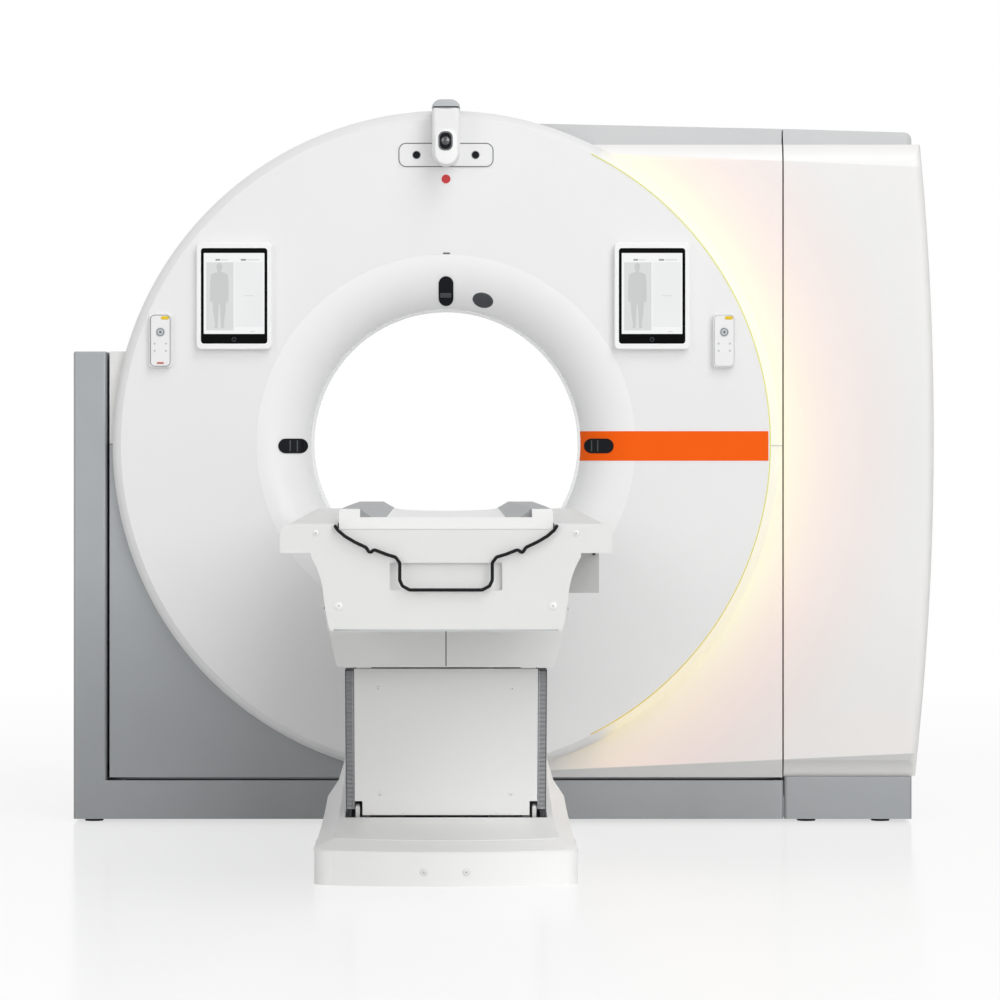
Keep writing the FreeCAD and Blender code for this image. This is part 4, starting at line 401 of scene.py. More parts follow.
# the funnel's white paint, smoother than the face round it, and brighter than the face as painted light
funnel_paint_with_painted_light = coated("smooth_white_paint_on_funnel_with_painted_light", "#f1f1f1", "#f5f5f5", 0.38, 0.006, 0.0001,
                      IOR=1.5, **FULL_COAT)[0]
# silver-grey paint with a fine metal flake: brighter where it faces the light, with painted shade low down
# and painted light high up, grain 0.5 mm drawn 3 mm
silver_paint = painted_light_and_shade_by_height(
    coated("silver_grey_paint_with_fine_flake", "#979a9c", "#a1a4a6", 0.42, 0.003, 0.00006,
           Metallic=0.5, IOR=1.5),
    0.05, 0.65, 0.92, 1.12)
# the lighter satin grey of the roof pieces, sprayed: an even, dull shine
roof_paint = coated("satin_light_grey_paint_on_roof", "#c7c8c9", "#cecfd0", 0.45, 0.005, 0.0001, IOR=1.5)[0]
# powder coat on welded steel: a fine pebbled skin, 1 mm, drawn 3 mm
frame_coat = coated("grey_powder_coat_on_welded_steel", "#878b90", "#92969a", 0.5, 0.003, 0.0002, IOR=1.5)[0]
# textured powder coat on folded sheet steel: pebbled and nearly without shine
cabinet_coat = coated("textured_powder_coat_on_sheet_steel", "#9c9fa3", "#a6a9ac", 0.55, 0.002, 0.0002,
                      IOR=1.5)[0]
# brushed-on enamel over sand castings: the castings' skin shows as low bumps, 4 mm apart
motor_enamel = coated("grey_machine_enamel_on_castings", "#4a5056", "#545a60", 0.4, 0.004, 0.00025,
                      IOR=1.5)[0]
# ground steel of the bearings: streaked, sharp reflections
bearing_metal = brushed("ground_bearing_steel", "#b0b2b5", "#babcbf", 0.28)
# machined aluminium casting of the drum: fine tool marks along its axis, drawn 2 mm apart
drum_metal = coated("machined_aluminium_casting", "#b4b7ba", "#c2c4c7", 0.36, 0.002, 0.00008,
                    stretch=(1, 0.05, 1), Metallic=1.0)[0]
# moulded glass-filled composite of the slip ring: very dark grey and dull
ring_composite = coated("moulded_slip_ring_composite", "#33373c", "#3b3f45", 0.5, 0.004, 0.0001, IOR=1.55)[0]
# the bore's thin translucent tube: smooth, slightly glossy, greyer than the covers
liner_film = coated("smooth_translucent_film_tube", "#d3d7da", "#dde0e2", 0.22, 0.01, 0.00002, IOR=1.58,
                    **{"Coat Weight": 0.3, "Coat Roughness": 0.08})[0]
# moulded grille cloth behind fine holes: dark, dull, holes 1.5 mm apart, drawn 3 mm apart
speaker_mesh = coated("fine_moulded_speaker_grille", "#3c3f42", "#474a4d", 0.6, 0.003, 0.0006, IOR=1.5)[0]
# tinted acrylic, polished and coated against glare: near black, with faint sharp reflections
tinted_acrylic = coated("polished_tinted_acrylic", "#15171a", "#1c1e22", 0.14, 0.02, 0.00001,
                        rough_swing=0.03, IOR=1.49, **{"Specular IOR Level": 0.10})[0]
# ground and coated lens glass: dark green with a hard bright highlight
lens_glass = coated("coated_camera_lens_glass", "#10201c", "#1c302b", 0.06, 0.02, 0.00001, rough_swing=0.02,
                    IOR=1.6, **{"Coat Weight": 1.0, "Coat Roughness": 0.02})[0]
# moulded red acrylic over a lamp, and the two frosted light guides, extruded: even light without a spot
red_lens = lit("clear_red_lamp_lens", "#b8242a", 0.10, "#d8352c", "#e0443a")
strip_light = lit("frosted_warm_light_guide", "#b8b8b6", 1.0, "#bcb8a2", "#c0bca6", "#fff0cc", (0.388, 0.445))
strip_line = lit("frosted_amber_light_line", "#a8a868", 1.0, "#9c9c58", "#a4a45e", "#ffc47c", (0.360, 0.380))
# cast vinyl film stuck to the cover: flat, strong colour, hardly any shine
orange_film = coated("smooth_orange_film_on_the_cover", "#f95e02", "#fb6406", 0.45, 0.02, 0.00002, IOR=1.5,
                     **{"Specular IOR Level": 0.12})[0]
# satin moulded ABS of the tablets' frames: whiter and smoother than the painted cover
tablet_shell = coated("moulded_satin_white_abs", "#f3f3f3", "#f7f7f7", 0.35, 0.003, 0.00006, IOR=1.53)[0]
# polished display glass over a black mask, coated against glare
black_glass = coated("polished_black_display_glass", "#050506", "#090a0b", 0.12, 0.03, 0.00001,
                     rough_swing=0.02, IOR=1.52, **{"Specular IOR Level": 0.05})[0]
# the remotes: spark-eroded ABS with a fine dull texture, silicone keys, and marks printed on them
remote_shell = coated("fine_textured_white_abs", "#ededed", "#f2f2f2", 0.48, 0.0025, 0.00008, IOR=1.53)[0]
soft_key = coated("moulded_grey_silicone_key", "#c3c6c9", "#cccfd2", 0.6, 0.002, 0.00008, IOR=1.42)[0]
key_mark = coated("printed_slate_ink", "#5d656d", "#68707a", 0.5, 0.01, 0.00001, IOR=1.5)[0]
yellow_key = coated("moulded_yellow_silicone_key", "#e6c21e", "#eecb2c", 0.55, 0.002, 0.00006, IOR=1.42)[0]
red_mark = coated("moulded_dull_red_silicone", "#b5564c", "#c06156", 0.6, 0.002, 0.00006, IOR=1.42)[0]
# moulded nylon and trim: dull blacks and greys with a soft edge to their highlights
black_nylon = coated("moulded_black_nylon", "#1e1f21", "#27282b", 0.55, 0.002, 0.0001, IOR=1.53)[0]
dark_trim = coated("moulded_dark_grey_trim", "#5a5d60", "#64676a", 0.5, 0.003, 0.00006, IOR=1.5)[0]
pod_grey = coated("moulded_light_grey_cap", "#b7babc", "#c0c3c5", 0.42, 0.003, 0.00006, IOR=1.5)[0]
# pleated rubber-coated cloth: dull, with a fine weave 1 mm, drawn 2 mm
gaiter_cloth = coated("pleated_rubber_coated_cloth", "#a4a5a7", "#adaeb0", 0.75, 0.002, 0.00035, IOR=1.5)[0]
# powder coat on the handle's bent wire: deep black with a dull shine along it
black_wire_coat = coated("black_powder_coat_on_bent_wire", "#0c0d0e", "#141517", 0.45, 0.002, 0.0001, IOR=1.5,
                         **{"Specular IOR Level": 0.15})[0]
# gelcoat over carbon fibre: hard and smooth, white on the front lip, and grey behind it as painted shade on
# the cradle's shaded sides
gelcoat = painted_shade_behind("white_gelcoat_with_painted_shade_behind_lip", "#ebebea", "#eeeeed", "#9c9ea0", -2.3845, 0.42,
                   0.012, 0.00003, IOR=1.52, **{"Specular IOR Level": 0.2})
# welded foam-backed vinyl: a leather grain of 1.2 mm, drawn 3 mm, and a soft sheen
pad_vinyl = coated("welded_pale_grey_vinyl", "#f0f1f1", "#f5f5f5", 0.5, 0.003, 0.0003, IOR=1.52,
                   **{"Sheen Weight": 0.15, "Sheen Roughness": 0.5})[0]
# moulded plastics: the box under the table's edge, and the screws' plugs; the grey of their sockets is
# painted shade in the recesses
# the box's pale grey plastic, painted darker as shade under the wing
box_plastic_and_shade = coated("grey_abs_darkened_by_painted_shade", "#b6b6b5", "#bcbcbb", 0.45, 0.004, 0.00008, IOR=1.53)[0]
socket_shade = coated("shaded_socket_in_screw_plug", "#a4a4a3", "#aaaaa9", 0.6, 0.003, 0.00004, IOR=1.5)[0]
screw_plug = coated("moulded_screw_plug", "#eaeae9", "#eeeeed", 0.4, 0.003, 0.00004, IOR=1.5)[0]
# the picture on the tablets: backlit fields under gloss glass
screen_white = screen_panel("backlit_screen_white_ground", "#f5f5f5", "#f8f8f8")
screen_pale = screen_panel("backlit_screen_pale_field", "#ededed", "#f0f0f0")
screen_grey = screen_panel("backlit_screen_grey_field", "#d9d9d9", "#dddddd")
screen_dark = screen_panel("backlit_screen_figure", "#c6c6c6", "#cacaca")
screen_mark = screen_panel("backlit_screen_marks", "#8c8c8c", "#969696")

FINISHES = {
    "frame_steel": frame_coat, "bearing_steel": bearing_metal, "motor_paint": motor_enamel,
    "cabinet_paint": cabinet_coat, "cover_white": housing_paint, "cover_grey": silver_paint,
    "roof_grey": roof_paint, "disc_white": disc_paint, "table_white": table_paint,
    "liner_plastic": liner_film, "light_diffuser": strip_light, "dark_glass": tinted_acrylic,
    "lamp_red": red_lens,
    "band_orange": orange_film, "tablet_white": tablet_shell, "screen_glass": black_glass,
    "remote_white": remote_shell, "key_grey": soft_key, "drum_aluminium": drum_metal,
    "slip_ring_composite": ring_composite, "black_plastic": black_nylon, "gaiter_rubber": gaiter_cloth,
    "handle_black": black_wire_coat, "tabletop_gelcoat": gelcoat, "pad_vinyl": pad_vinyl,
}

for node in NODES.values():
    for place in node.material_slots:
        place.material = FINISHES[place.material.name]
for name, finish in (
    ("side_box", box_plastic_and_shade), ("table_base_cover", foot_paint), ("arm_panel", panel_paint),
    ("front_funnel", funnel_paint_with_painted_light),
):
    NODES[name].material_slots[0].material = finish


# the camera pod and the plate behind it ------------------------------------------------------


def pod_cap():
    """The grey cap over the pod's rounded top: its outline closes below with a shallow arc."""
    wide, foot, top, corner = 0.0728, 1.8385, 1.8614, 0.0240
    turn = np.linspace(0, math.pi / 2, 12)
    right = np.stack([wide / 2 - corner * (1 - np.cos(turn)), top - corner + corner * np.sin(turn)], axis=-1)
    left = right[::-1] * (-1, 1)
    along = np.linspace(-1, 1, 17)[1:-1]
    below = np.stack([along * wide / 2, foot - 0.0055 * (1 - along ** 2)], axis=-1)
    outline = np.concatenate([right, left, below])
    button("pod_cap", outline, PLATE_Y, PLATE_Y - POD_Y + 0.0006, 0.006, "gantry", pod_grey)


def camera_face():
    """The raised bezel, the lens frame, its seat and the domed lens on the pod's front."""
    x, z = -0.0012, 1.7545
    bezel_rise, frame_rise, seat_rise = 0.0045, 0.0016, 0.0006
    button("pod_bezel", round_box(0.0006, 1.7405, 0.059, 0.093, 0.0295, 12), POD_Y, bezel_rise, 0.004,
           "gantry", tablet_shell)
    front = POD_Y - bezel_rise
    button("lens_frame", round_box(x, z, 0.0368, 0.0492, 0.0155, 10), front, frame_rise, 0.0012,
           "gantry", dark_trim)
    front -= frame_rise
    button("lens_seat", round_box(x, z, 0.029, 0.0414, 0.0125, 10), front, seat_rise, 0.0005,
           "gantry", tinted_acrylic)
    front -= seat_rise
    button("camera_lens", ring_of(x, z, 0.0112, steps=40), front, 0.0022, 0.002, "gantry", lens_glass,
           dome=0.0015)


def plate_line():
    """The dark line round the sensor plate: a box with round corners whose lower side bows down."""
    outline = round_box(0.0, 1.7250, 0.2425, 0.0600, 0.0185, 12)
    low = outline[:, 1] < 1.70
    bow = 0.0030 * np.cos(np.clip(outline[:, 0] / 0.10, -1, 1) * math.pi / 2)
    outline[:, 1] -= np.where(low, bow, 0)
    line_round("sensor_plate_line", outline, PLATE_Y, 0.0013, "gantry", dark_trim)


def lens_rims():
    """Thin rims round the two sensors and the lamp."""
    for side, x in (("left", -0.076), ("right", 0.076)):
        line_round(side + "_sensor_rim", ring_of(x, 1.725, 0.0105), PLATE_Y, 0.0010, "gantry", pod_grey)
    line_round("lamp_rim", ring_of(0.0, 1.663, 0.0118), PLATE_Y + 0.0012, 0.0010, "gantry", tablet_shell)


pod_cap()
camera_face()
plate_line()
lens_rims()


# the tablets ---------------------------------------------------------------------------------


def figure_outline(x, z, tall):
    """A plain standing figure from the front, arms at its sides, as one closed outline: tall from (x, z) up.

    half is its right side in units of its height; the left side is the same, mirrored.
    """
    half = np.array([
        (0.000, 1.000), (0.030, 0.990), (0.046, 0.958), (0.041, 0.912), (0.026, 0.882), (0.029, 0.862),
        (0.098, 0.842), (0.130, 0.812), (0.139, 0.700), (0.143, 0.560), (0.140, 0.430), (0.130, 0.398),
        (0.114, 0.402), (0.108, 0.440), (0.101, 0.370), (0.094, 0.260), (0.072, 0.110), (0.066, 0.050),
        (0.078, 0.014), (0.034, 0.000), (0.026, 0.030), (0.018, 0.200), (0.007, 0.380),
    ])
    left = half[::-1] * (-1, 1)
    whole = np.concatenate([left[:-1], half])[::-1]
    return whole * tall + (x, z)


def flat_slab(name, outline, front, thick, body, finish):
    """A flat plate facing -Y of that outline: two rings, thick apart, each closed with one face."""
    outline = np.asarray(outline, float)
    points = np.stack([
        np.stack([outline[:, 0], np.full(len(outline), y), outline[:, 1]], axis=-1)
        for y in (front + thick, front)
    ], axis=1)
    return skin(name, points, body, finish, loop_u=True, cap_v=True, smooth=False)


SCREEN_LOW = 1.2632  # the foot of the lit screen
HOME_KEY_Z = 1.2490
# each field: its middle from the tablet's and up from the screen's foot, width, height, rise over the glass
SCREEN_FIELDS = (
    (0.0000, 0.1040, 0.1560, 0.2080, 0.0002, screen_white),
    (-0.0365, 0.0965, 0.0700, 0.1750, 0.0003, screen_grey),
    (0.0375, 0.1010, 0.0720, 0.1660, 0.0003, screen_pale),
    (-0.0420, 0.1905, 0.0120, 0.0045, 0.0005, screen_mark),
    (-0.0250, 0.1905, 0.0180, 0.0030, 0.0005, screen_grey),
    (0.0240, 0.1905, 0.0140, 0.0045, 0.0005, screen_mark),
    (0.0490, 0.1905, 0.0320, 0.0030, 0.0005, screen_grey),
    (0.0380, 0.0980, 0.0240, 0.0022, 0.0005, screen_grey),
    (0.0480, 0.0060, 0.0120, 0.0025, 0.0005, screen_grey),
)


def tablet(side, x):
    """The picture under the glass: a white ground, two fields, a figure, a few marks and a home key."""
    thick = 0.0003
    for n, (dx, dz, wide, high, over, finish) in enumerate(SCREEN_FIELDS):
        flat_slab(f"{side}_screen_field_{n + 1}", round_box(x + dx, SCREEN_LOW + dz, wide, high, 0.0010, 3),
                  GLASS_Y - over, thick, "gantry", finish)
    flat_slab(side + "_screen_figure", figure_outline(x - 0.0380, SCREEN_LOW + 0.0135, 0.1690),
              GLASS_Y - 0.0004, thick, "gantry", screen_dark)
    button(side + "_home_key", ring_of(x, HOME_KEY_Z, 0.0050, steps=28), GLASS_Y, 0.0004, 0.0003, "gantry",
           tinted_acrylic)
    line_round(side + "_home_key_rim", ring_of(x, HOME_KEY_Z, 0.0054, steps=28), GLASS_Y - 0.0002, 0.0003,
               "gantry", dark_trim)


for side, x in zip(("left", "right"), TABLET_X):
    tablet(side, x)


# the remotes ---------------------------------------------------------------------------------


def remote(side, x, edge_finish):
    """The keys and marks of one remote: a wide top key, a ring on the round key and two rows of dots."""
    wide, high, z, inset = 0.057, 0.138, 1.246, 0.0065
    button(side + "_remote_top_key", round_box(x + 0.012, z + 0.0585, 0.021, 0.0085, 0.004, 6), REMOTE_Y,
           0.0012, 0.0008, "gantry", yellow_key)
    body, key_z = side + "_key", z + 0.022
    line_round(side + "_key_ring", ring_of(x, key_z, 0.0088, steps=28), KEY_Y, 0.0009, body, key_mark)
    button(side + "_key_middle", ring_of(x, key_z, 0.0032, steps=20), KEY_Y, 0.0007, 0.0005, body, key_mark)
    dots = ((-0.0145, -0.0075), (0.0145, -0.0075), (-0.0145, -0.026), (0.0145, -0.026))
    for n, (dx, dz) in enumerate(dots):
        button(f"{side}_remote_dot_{n + 1}", ring_of(x + dx, z + dz, 0.0028, steps=18), REMOTE_Y, 0.0008,
               0.0006, "gantry", soft_key)
    edge = round_box(x, z, wide - inset, high - inset, 0.0110, 10)
    line_round(side + "_remote_line", edge, REMOTE_Y, 0.0009, "gantry", edge_finish, flat=0.7)


remote("left", REMOTE_X[0], dark_trim)
remote("right", REMOTE_X[1], pod_grey)
button("left_remote_foot_key", round_box(REMOTE_X[0], 1.1885, 0.018, 0.0045, 0.002, 6), REMOTE_Y, 0.0009,
       0.0006, "gantry", red_mark)


# the face ------------------------------------------------------------------------------------


FUNNEL_CENTRE = (0.4817, -0.1002)  # the middle of the funnel's round section: from the axis, and Y
FUNNEL_ROUND = 0.150
GUIDE_RADIUS = 0.8362  # the light guide's inner edge


def funnel_y(x, z):
    """The funnel's front surface: a circle of 150 mm turned about the bore's axis."""
    away = np.hypot(x, z - AXIS_Z) - FUNNEL_CENTRE[0]
    return FUNNEL_CENTRE[1] - np.sqrt(FUNNEL_ROUND ** 2 - away ** 2)


def funnel_patch(name, outline, proud, finish):
    """A thin plate on the funnel: rings of its outline shrunk to its middle, each laid on the surface."""
    middle = outline.mean(axis=0)
    rings = []
    for share, lift in (
        (1.0, -0.002), (1.0, proud * 0.4), (0.97, proud), (0.75, proud), (0.5, proud), (0.25, proud),
    ):
        ring = middle + (outline - middle) * share
        rings.append(np.stack([ring[:, 0], funnel_y(ring[:, 0], ring[:, 1]) - lift, ring[:, 1]], axis=-1))
    return skin(name, np.stack(rings, axis=1), "gantry", finish, loop_u=True, cap_v=True)


def funnel_line(name, outline, radius, finish):
    """A thin raised line round an outline on the funnel."""
    path = np.stack([outline[:, 0], funnel_y(outline[:, 0], outline[:, 1]), outline[:, 1]], axis=-1)
    return bead(name, path, radius, "gantry", finish, flat=0.5)


def face_details():
    """The speaker on the funnel, the slit over it, the windows' bars and the light guide's amber line."""
    oval = ring_of(0.0955, 1.3520, 0.0262, 0.0180, steps=40, tilt=math.radians(-15))
    funnel_patch("intercom_speaker", oval, 0.0012, speaker_mesh)
    funnel_line("intercom_speaker_rim", oval, 0.0012, dark_trim)
    button("face_slit", round_box(0.0013, 1.4715, 0.0190, 0.0045, 0.0022, 6), FACE_Y, 0.0007, 0.0004,
           "gantry", dark_trim)
    for name, x, z, wide, high in (
        ("top_window_bar", -0.0010, 1.3643, 0.0300, 0.0120),
        ("left_window_bar_1", -0.4024, 0.9750, 0.0035, 0.0300),
        ("left_window_bar_2", -0.3843, 0.9750, 0.0035, 0.0300),
        ("right_window_bar_1", 0.3766, 0.9750, 0.0035, 0.0300),
        ("right_window_bar_2", 0.3921, 0.9750, 0.0035, 0.0300),
    ):
        funnel_patch(name, round_box(x, z, wide, high, 0.0010, 3), 0.0026, speaker_mesh)
    angle = np.radians(np.linspace(-63.6, 63.4, 183))
    path = np.stack([
        GUIDE_RADIUS * np.cos(angle), np.full_like(angle, FACE_Y - 0.0010),
        AXIS_Z + GUIDE_RADIUS * np.sin(angle),
    ], axis=-1)
    bead("light_guide_line", path, 0.0016, "gantry", strip_line, closed=False, flat=0.7)


face_details()


# the pad -------------------------------------------------------------------------------------


def mattress():
    """The long pad: a lens-shaped section carried along the tabletop, its ends rounded down.

    Across, the underside follows the cradle, z = c - sqrt(R^2 - x^2); the thickness over it is
    t * (1 - |u|^3.2)^(1/2.4), its top dished by 8 mm, and the ends round down as a quarter circle does.
    Four shallow welded seams run across it as notches of 2 mm.
    """
    half, front, rear = 0.131, -2.383, -0.427
    radius, cradle_low = 0.2881, 0.787
    centre = cradle_low + radius
    rim_top, dish, gap = 0.8110, 0.0080, 0.0004
    end_round, seam_depth, seam_width = 0.016, 0.0022, 0.0035
    u = np.linspace(-1, 1, 65)
    v = np.linspace(0, 1, 241)
    x = half * np.sin(u * math.pi / 2)
    y = front + (rear - front) * v
    under = centre - np.sqrt(radius ** 2 - x ** 2) + gap
    away = np.abs(x / half)
    swell = (1 - away ** 3.2) ** (1 / 2.4)
    top = rim_top + dish * away ** 2
    full = np.maximum(top - under, 0) * swell
    run = np.minimum(y - front, rear - y)
    lift = np.sqrt(np.clip(1 - (1 - np.clip(run / end_round, 0, 1)) ** 2, 0.02, 1))
    seams = np.zeros_like(y)
    for place in (-2.02, -1.63, -1.24, -0.85):
        seams += seam_depth * np.exp(-((y - place) / seam_width) ** 2)
    upper = under[:, None] + full[:, None] * lift[None, :] - np.minimum(seams[None, :], 0.8 * full[:, None])
    upper = np.maximum(upper, under[:, None])
    lower = np.broadcast_to(under[:, None], upper.shape)
    xs = np.concatenate([x, x[-2:0:-1]])
    zs = np.concatenate([upper, lower[-2:0:-1]])
    points = np.stack([
        np.broadcast_to(xs[:, None], zs.shape), np.broadcast_to(y[None, :], zs.shape), zs,
    ], axis=-1)
    pad = skin("table_mattress", points, "tabletop", pad_vinyl, loop_u=True, cap_v=True)
    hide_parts("table_pad")


mattress()


# screw plugs and seams -----------------------------------------------------------------------

for name, x, z, y, radius, body in (
    ("left_cap_screw", -0.2190, 0.6490, CAP_Y, 0.0085, "carriage"),
    ("right_cap_screw", 0.2190, 0.6490, CAP_Y, 0.0085, "carriage"),
    ("left_wing_screw", -0.2660, 0.7980, CAP_Y, 0.0060, "carriage"),
    ("right_wing_screw", 0.2660, 0.7980, CAP_Y, 0.0060, "carriage"),
    ("left_base_screw", -0.0490, 0.0330, FOOT_Y, 0.0085, "stand"),
    ("right_base_screw", 0.0450, 0.0330, FOOT_Y, 0.0085, "stand"),
):
    button(name, ring_of(x, z, radius, steps=28), y, 0.0018, 0.0012, body, screw_plug, dome=0.0020)
    # each plug's socket: a grey disc of painted shade for the recess
    button(name + "_socket", ring_of(x, z, 0.0017, steps=16), y - 0.0034, 0.0007, 0.0003, body,
           socket_shade)


ARM_PIVOT = (-1.080, 0.180)  # Y and Z of the arm's lower pin
ARM_UP = (-0.26556, 0.96410)  # the way up the arm, in Y and Z
PANEL_OUT = 0.092  # the panel's face in front of the arm's middle line


def on_panel(points):
    """Moves points from the plane y = 0 to the leaning panel: z runs up the arm, and -y out of its face."""
    up, out = points[..., 2], PANEL_OUT - points[..., 1]
    y = ARM_PIVOT[0] + ARM_UP[0] * up - ARM_UP[1] * out
    z = ARM_PIVOT[1] + ARM_UP[1] * up + ARM_UP[0] * out
    return np.stack([points[..., 0], y, z], axis=-1)


def panel_details():
    """The arm panel's screws and lugs, the lower housing's seam and a line of painted shade along the end
    cap's turned lower edge.
    """
    for name, x, up in (
        ("upper_left", -0.1580, 0.2640), ("upper_right", 0.1550, 0.2640),
        ("lower_left", -0.1550, 0.0020), ("lower_right", 0.1530, 0.0020),
    ):
        button(name + "_panel_screw", ring_of(x, up, 0.0058, steps=28), 0.0, 0.0014, 0.0010, "arm",
               screw_plug, dome=0.0012, lay=on_panel)
        # each screw's socket: a grey disc of painted shade for the recess
        button(name + "_panel_socket", ring_of(x, up, 0.0015, steps=16), -0.0020, 0.0007, 0.0003, "arm",
               socket_shade, lay=on_panel)
    for side, x in (("left", -0.2078), ("right", 0.2078)):
        button(side + "_panel_lug", round_box(x, -0.0520, 0.0100, 0.0430, 0.0020, 4), 0.020, 0.016, 0.0015,
               "arm", table_paint, lay=on_panel)
    housing_front = -1.3100
    path = np.array([(0.0, housing_front, z) for z in (0.4660, 0.5300, 0.5960)])
    bead("housing_seam", path, 0.0013, "carriage", dark_trim, closed=False, flat=0.4)
    # a grey line along the end cap's rolled lower edge: painted shade under the roll
    path = np.array([(x, CAP_Y + 0.0012, 0.5996) for x in np.linspace(-0.2300, 0.2300, 9)])
    bead("cap_lower_edge_shade", path, 0.0022, "carriage", pod_grey, closed=False)


panel_details()


def gaiter_hems():
    """The stitched hems down both edges of the pleated side covers."""
    for side, sign in (("left", -1), ("right", 1)):
        for edge, x, finish in (("outer", 0.2345, dark_trim), ("inner", 0.2180, pod_grey)):
            line = on_panel(np.array([(sign * x, 0.004, up) for up in (-0.036, 0.136, 0.308)]))
            bead(f"{side}_{edge}_gaiter_hem", line, 0.0012, "arm", finish, closed=False)


def found_on(node, starts, way):
    """The points where rays from the starts, all going one way, first meet a node's surface."""
    spots = [NODES[node].ray_cast(start, way)[1] for start in starts]
    return np.array([tuple(spot) for spot in spots])


def foot_plan(half, front):
    """A level line of the foot from above, right to left: rounded corners, and an arc between them.

    The arc rises by bow over its half width, reach, so its radius is (reach^2 + bow^2) / (2 * bow).
    """
    bow, rounding, rear = 0.0340, 0.0400, -1.4500
    reach = half - rounding
    radius = (reach * reach + bow * bow) / (2 * bow)
    swing = math.asin(reach / radius)
    side = np.stack([np.full(5, half), np.linspace(rear, front + bow + rounding, 6)[:-1]], axis=-1)
    turn = np.radians(np.linspace(0, 90, 10))
    corner = np.stack([
        reach + rounding * np.cos(turn), front + bow + rounding - rounding * np.sin(turn),
    ], axis=-1)
    lean = np.linspace(swing, -swing, 26)[1:-1]
    middle = np.stack([radius * np.sin(lean), front + radius - radius * np.cos(lean)], axis=-1)
    right = np.concatenate([side, corner])
    return np.concatenate([right, middle, right[::-1] * (-1, 1)])


def laid_lines():
    """The softened creases round the foot and the two joints across the tower's right side."""
    for name, z, half, front in (
        ("foot_top_crease", 0.0950, 0.2530, FOOT_TOP_Y), ("foot_edge_crease", 0.0770, 0.2940, FOOT_Y),
    ):
        plan = foot_plan(half, front)
        path = np.stack([plan[:, 0], plan[:, 1], np.full(len(plan), z - 0.0007)], axis=-1)
        bead(name, path, 0.0016, "stand", foot_paint, closed=False, deep=(0.0, 0.0, 1.0))
    for name, z in (("upper_side_joint", 0.5110), ("lower_side_joint", 0.2850)):
        starts = [(2.0, y, z) for y in np.linspace(-0.155, 0.405, 12)]
        line = found_on("tower_cover", starts, (-1, 0, 0))
        bead(name, line, 0.0013, "stand", dark_trim, closed=False, deep=(1.0, 0.0, 0.0))


def right_marks():
    """The joint across the disc's edge at axis height, and a stud by the side box."""
    z, rounding = 0.9756, 0.0280
    turn = np.radians(np.linspace(0, 90, 10))
    over = [
        (0.8350 + rounding * math.sin(a), FACE_Y - 0.0010 + rounding * (1 - math.cos(a)), z) for a in turn
    ]
    across = over + [(0.8632, HOUSING_Y, z), (0.8715, HOUSING_Y, z)]
    bead("edge_joint", across, 0.0010, "gantry", pod_grey, closed=False)
    button("box_stud", ring_of(0.3180, 0.7440, 0.0035, steps=20), -1.980, 0.0060, 0.0010, "carriage",
           black_nylon)


def turned_back(points):
    """Half a turn about Z, so that a piece made to face -Y faces +Y: (x, y) becomes (-x, -y)."""
    return points * (-1, -1, 1)


def rear_details():
    """The rear cover's two joints and ring of plugs, and the air slots low on the backs of tower and post."""
    for name, low, high in (("upper", 1.5850, 1.7690), ("lower", 0.1910, 0.3750)):
        path = np.array([(0.0, REAR_Y, low), (0.0, REAR_Y, (low + high) / 2), (0.0, REAR_Y, high)])
        bead(name + "_rear_joint", path, 0.0012, "gantry", dark_trim, closed=False)
    away = 0.690
    for n, angle in enumerate(np.radians(np.arange(30, 360, 60))):
        spot = ring_of(away * math.cos(angle), AXIS_Z + away * math.sin(angle), 0.0085, steps=28)
        button(f"rear_plug_{n + 1}", spot, -REAR_Y, 0.0018, 0.0012, "gantry", screw_plug, dome=0.0006,
               lay=turned_back)
    for n in range(9):
        z = 0.1900 + 0.0220 * n
        for name, x, wide in (("tower", -1.0600, 0.2000), ("post", 0.9220, 0.0520)):
            button(f"{name}_air_slot_{n + 1}", round_box(x, z, wide, 0.0090, 0.0045, 6), -BACK_Y, 0.0006,
                   0.0004, "stand", black_nylon, lay=turned_back)


gaiter_hems()
laid_lines()
right_marks()
rear_details()


# the floor, the light and the camera ---------------------------------------------------------


def floor_finish():
    """Pale polished floor that keeps the shadow: its shader, partly lifted to white for the camera alone."""
    material, tree, output, spot = new_finish("pale_polished_studio_floor")
    drift = add(tree, "TexNoise", {"Scale": 0.8, "Detail": 2.0}, {"Vector": spot})
    tone = ramp(tree, drift.outputs["Fac"], [(0.3, "#f4f4f4"), (0.7, "#f8f8f8")])
    shader = add(tree, "BsdfPrincipled", {"Roughness": 0.16, "IOR": 1.45}, {"Base Color": tone})
    white = add(tree, "Emission", {"Color": (1, 1, 1, 1), "Strength": 1.0})
    path = add(tree, "LightPath")
    away = add(tree, "VectorMath", {"operation": "LENGTH"}, {0: spot})
    rise = add(tree, "MapRange", {"From Min": 1.5, "From Max": 6.0, "To Min": 0.66, "To Max": 1.0},
               {"Value": away.outputs["Value"]})
    share = add(tree, "Math", {"operation": "MULTIPLY"},
                {0: path.outputs["Is Camera Ray"], 1: rise.outputs["Result"]})
    mixed = add(tree, "MixShader", {}, {
        0: share.outputs["Value"], 1: shader.outputs["BSDF"], 2: white.outputs["Emission"],
    })
    tree.links.new(mixed.outputs["Shader"], output.inputs["Surface"])
    return material


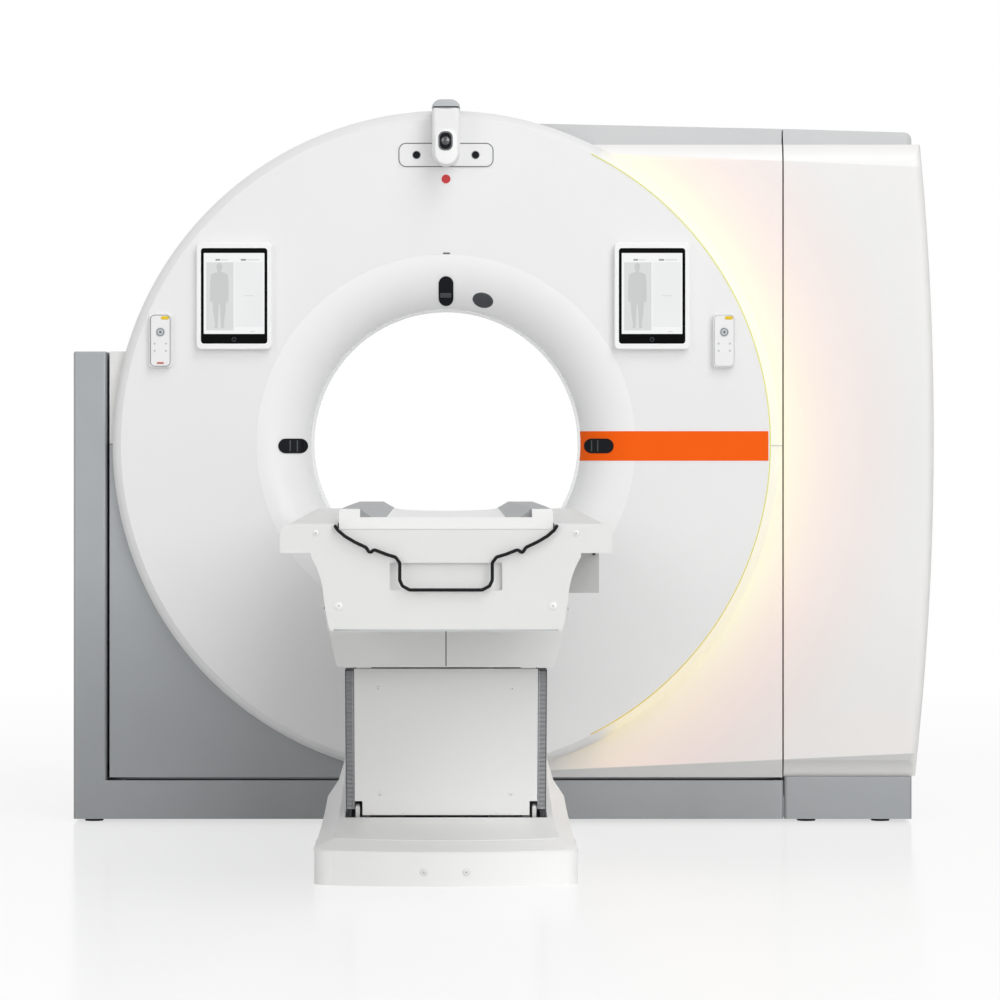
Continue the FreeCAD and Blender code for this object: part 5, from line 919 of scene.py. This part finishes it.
def studio():
    """A wide floor, soft light from above, in front and from the left, and a white world behind."""
    reach = 40.0
    corners = [(-reach, -reach, 0), (reach, -reach, 0), (reach, reach, 0), (-reach, reach, 0)]
    mesh = bpy.data.meshes.new("studio_floor")
    mesh.from_pydata(corners, [], [(0, 1, 2, 3)])
    mesh.materials.append(floor_finish())
    floor = bpy.data.objects.new("studio_floor", mesh)
    bpy.context.scene.collection.objects.link(floor)

    world = bpy.data.worlds.new("studio_world")
    bpy.context.scene.world = world
    world.use_nodes = True
    tree = world.node_tree
    tree.nodes.clear()
    output = add(tree, "OutputWorld")
    path = add(tree, "LightPath")
    seen = add(tree, "Math", {"operation": "MAXIMUM"}, {0: path.outputs["Is Camera Ray"],
                                                       1: path.outputs["Is Glossy Ray"]})
    clear = add(tree, "Math", {"operation": "MAXIMUM"}, {0: seen.outputs["Value"],
                                                        1: path.outputs["Is Transmission Ray"]})
    soft = add(tree, "Background", {"Color": linear("#ffffff"), "Strength": 0.48})
    white = add(tree, "Background", {"Color": linear("#ffffff"), "Strength": 1.0})
    mixed = add(tree, "MixShader", {}, {
        0: clear.outputs["Value"], 1: soft.outputs["Background"], 2: white.outputs["Background"],
    })
    tree.links.new(mixed.outputs["Shader"], output.inputs["Surface"])

    for name, place, aim, wide, power in (
        ("key_panel", (6.0, -11.0, 15.0), (0.0, -0.6, 0.9), 10.0, 950.0),
        ("front_panel", (8.0, -19.0, 6.5), (0.2, -0.6, 0.6), 9.0, 850.0),
        ("left_panel", (-9.0, -15.0, 6.0), (0.0, -0.6, 0.6), 8.0, 350.0),
    ):
        lamp = bpy.data.lights.new(name, "AREA")
        lamp.shape = "SQUARE"
        lamp.size = wide
        lamp.energy = power
        made = bpy.data.objects.new(name, lamp)
        made.location = place
        away = np.array(place) - np.array(aim)
        lean, turn = math.atan2(math.hypot(away[0], away[1]), away[2]), math.atan2(away[0], -away[1])
        made.rotation_euler = (lean, 0.0, turn)
        bpy.context.scene.collection.objects.link(made)


def photo_camera():
    """The camera on the bore's axis, 10.69 m in front of the middle plane, framed as the photo is.

    It sees 4050 pixels of image distance and the axis at pixel (446, 444) of 1000.
    """
    lens = bpy.data.cameras.new("photo_camera")
    lens.sensor_width = 36.0
    lens.lens = 145.8
    lens.shift_x = 0.054
    lens.shift_y = -0.056
    lens.clip_end = 200.0
    made = bpy.data.objects.new("photo_camera", lens)
    made.location = (0.0, -10.69, AXIS_Z)
    made.rotation_euler = (math.pi / 2, 0.0, 0.0)
    bpy.context.scene.collection.objects.link(made)
    bpy.context.scene.camera = made


studio()
photo_camera()
bpy.context.scene.view_settings.view_transform = "Standard"
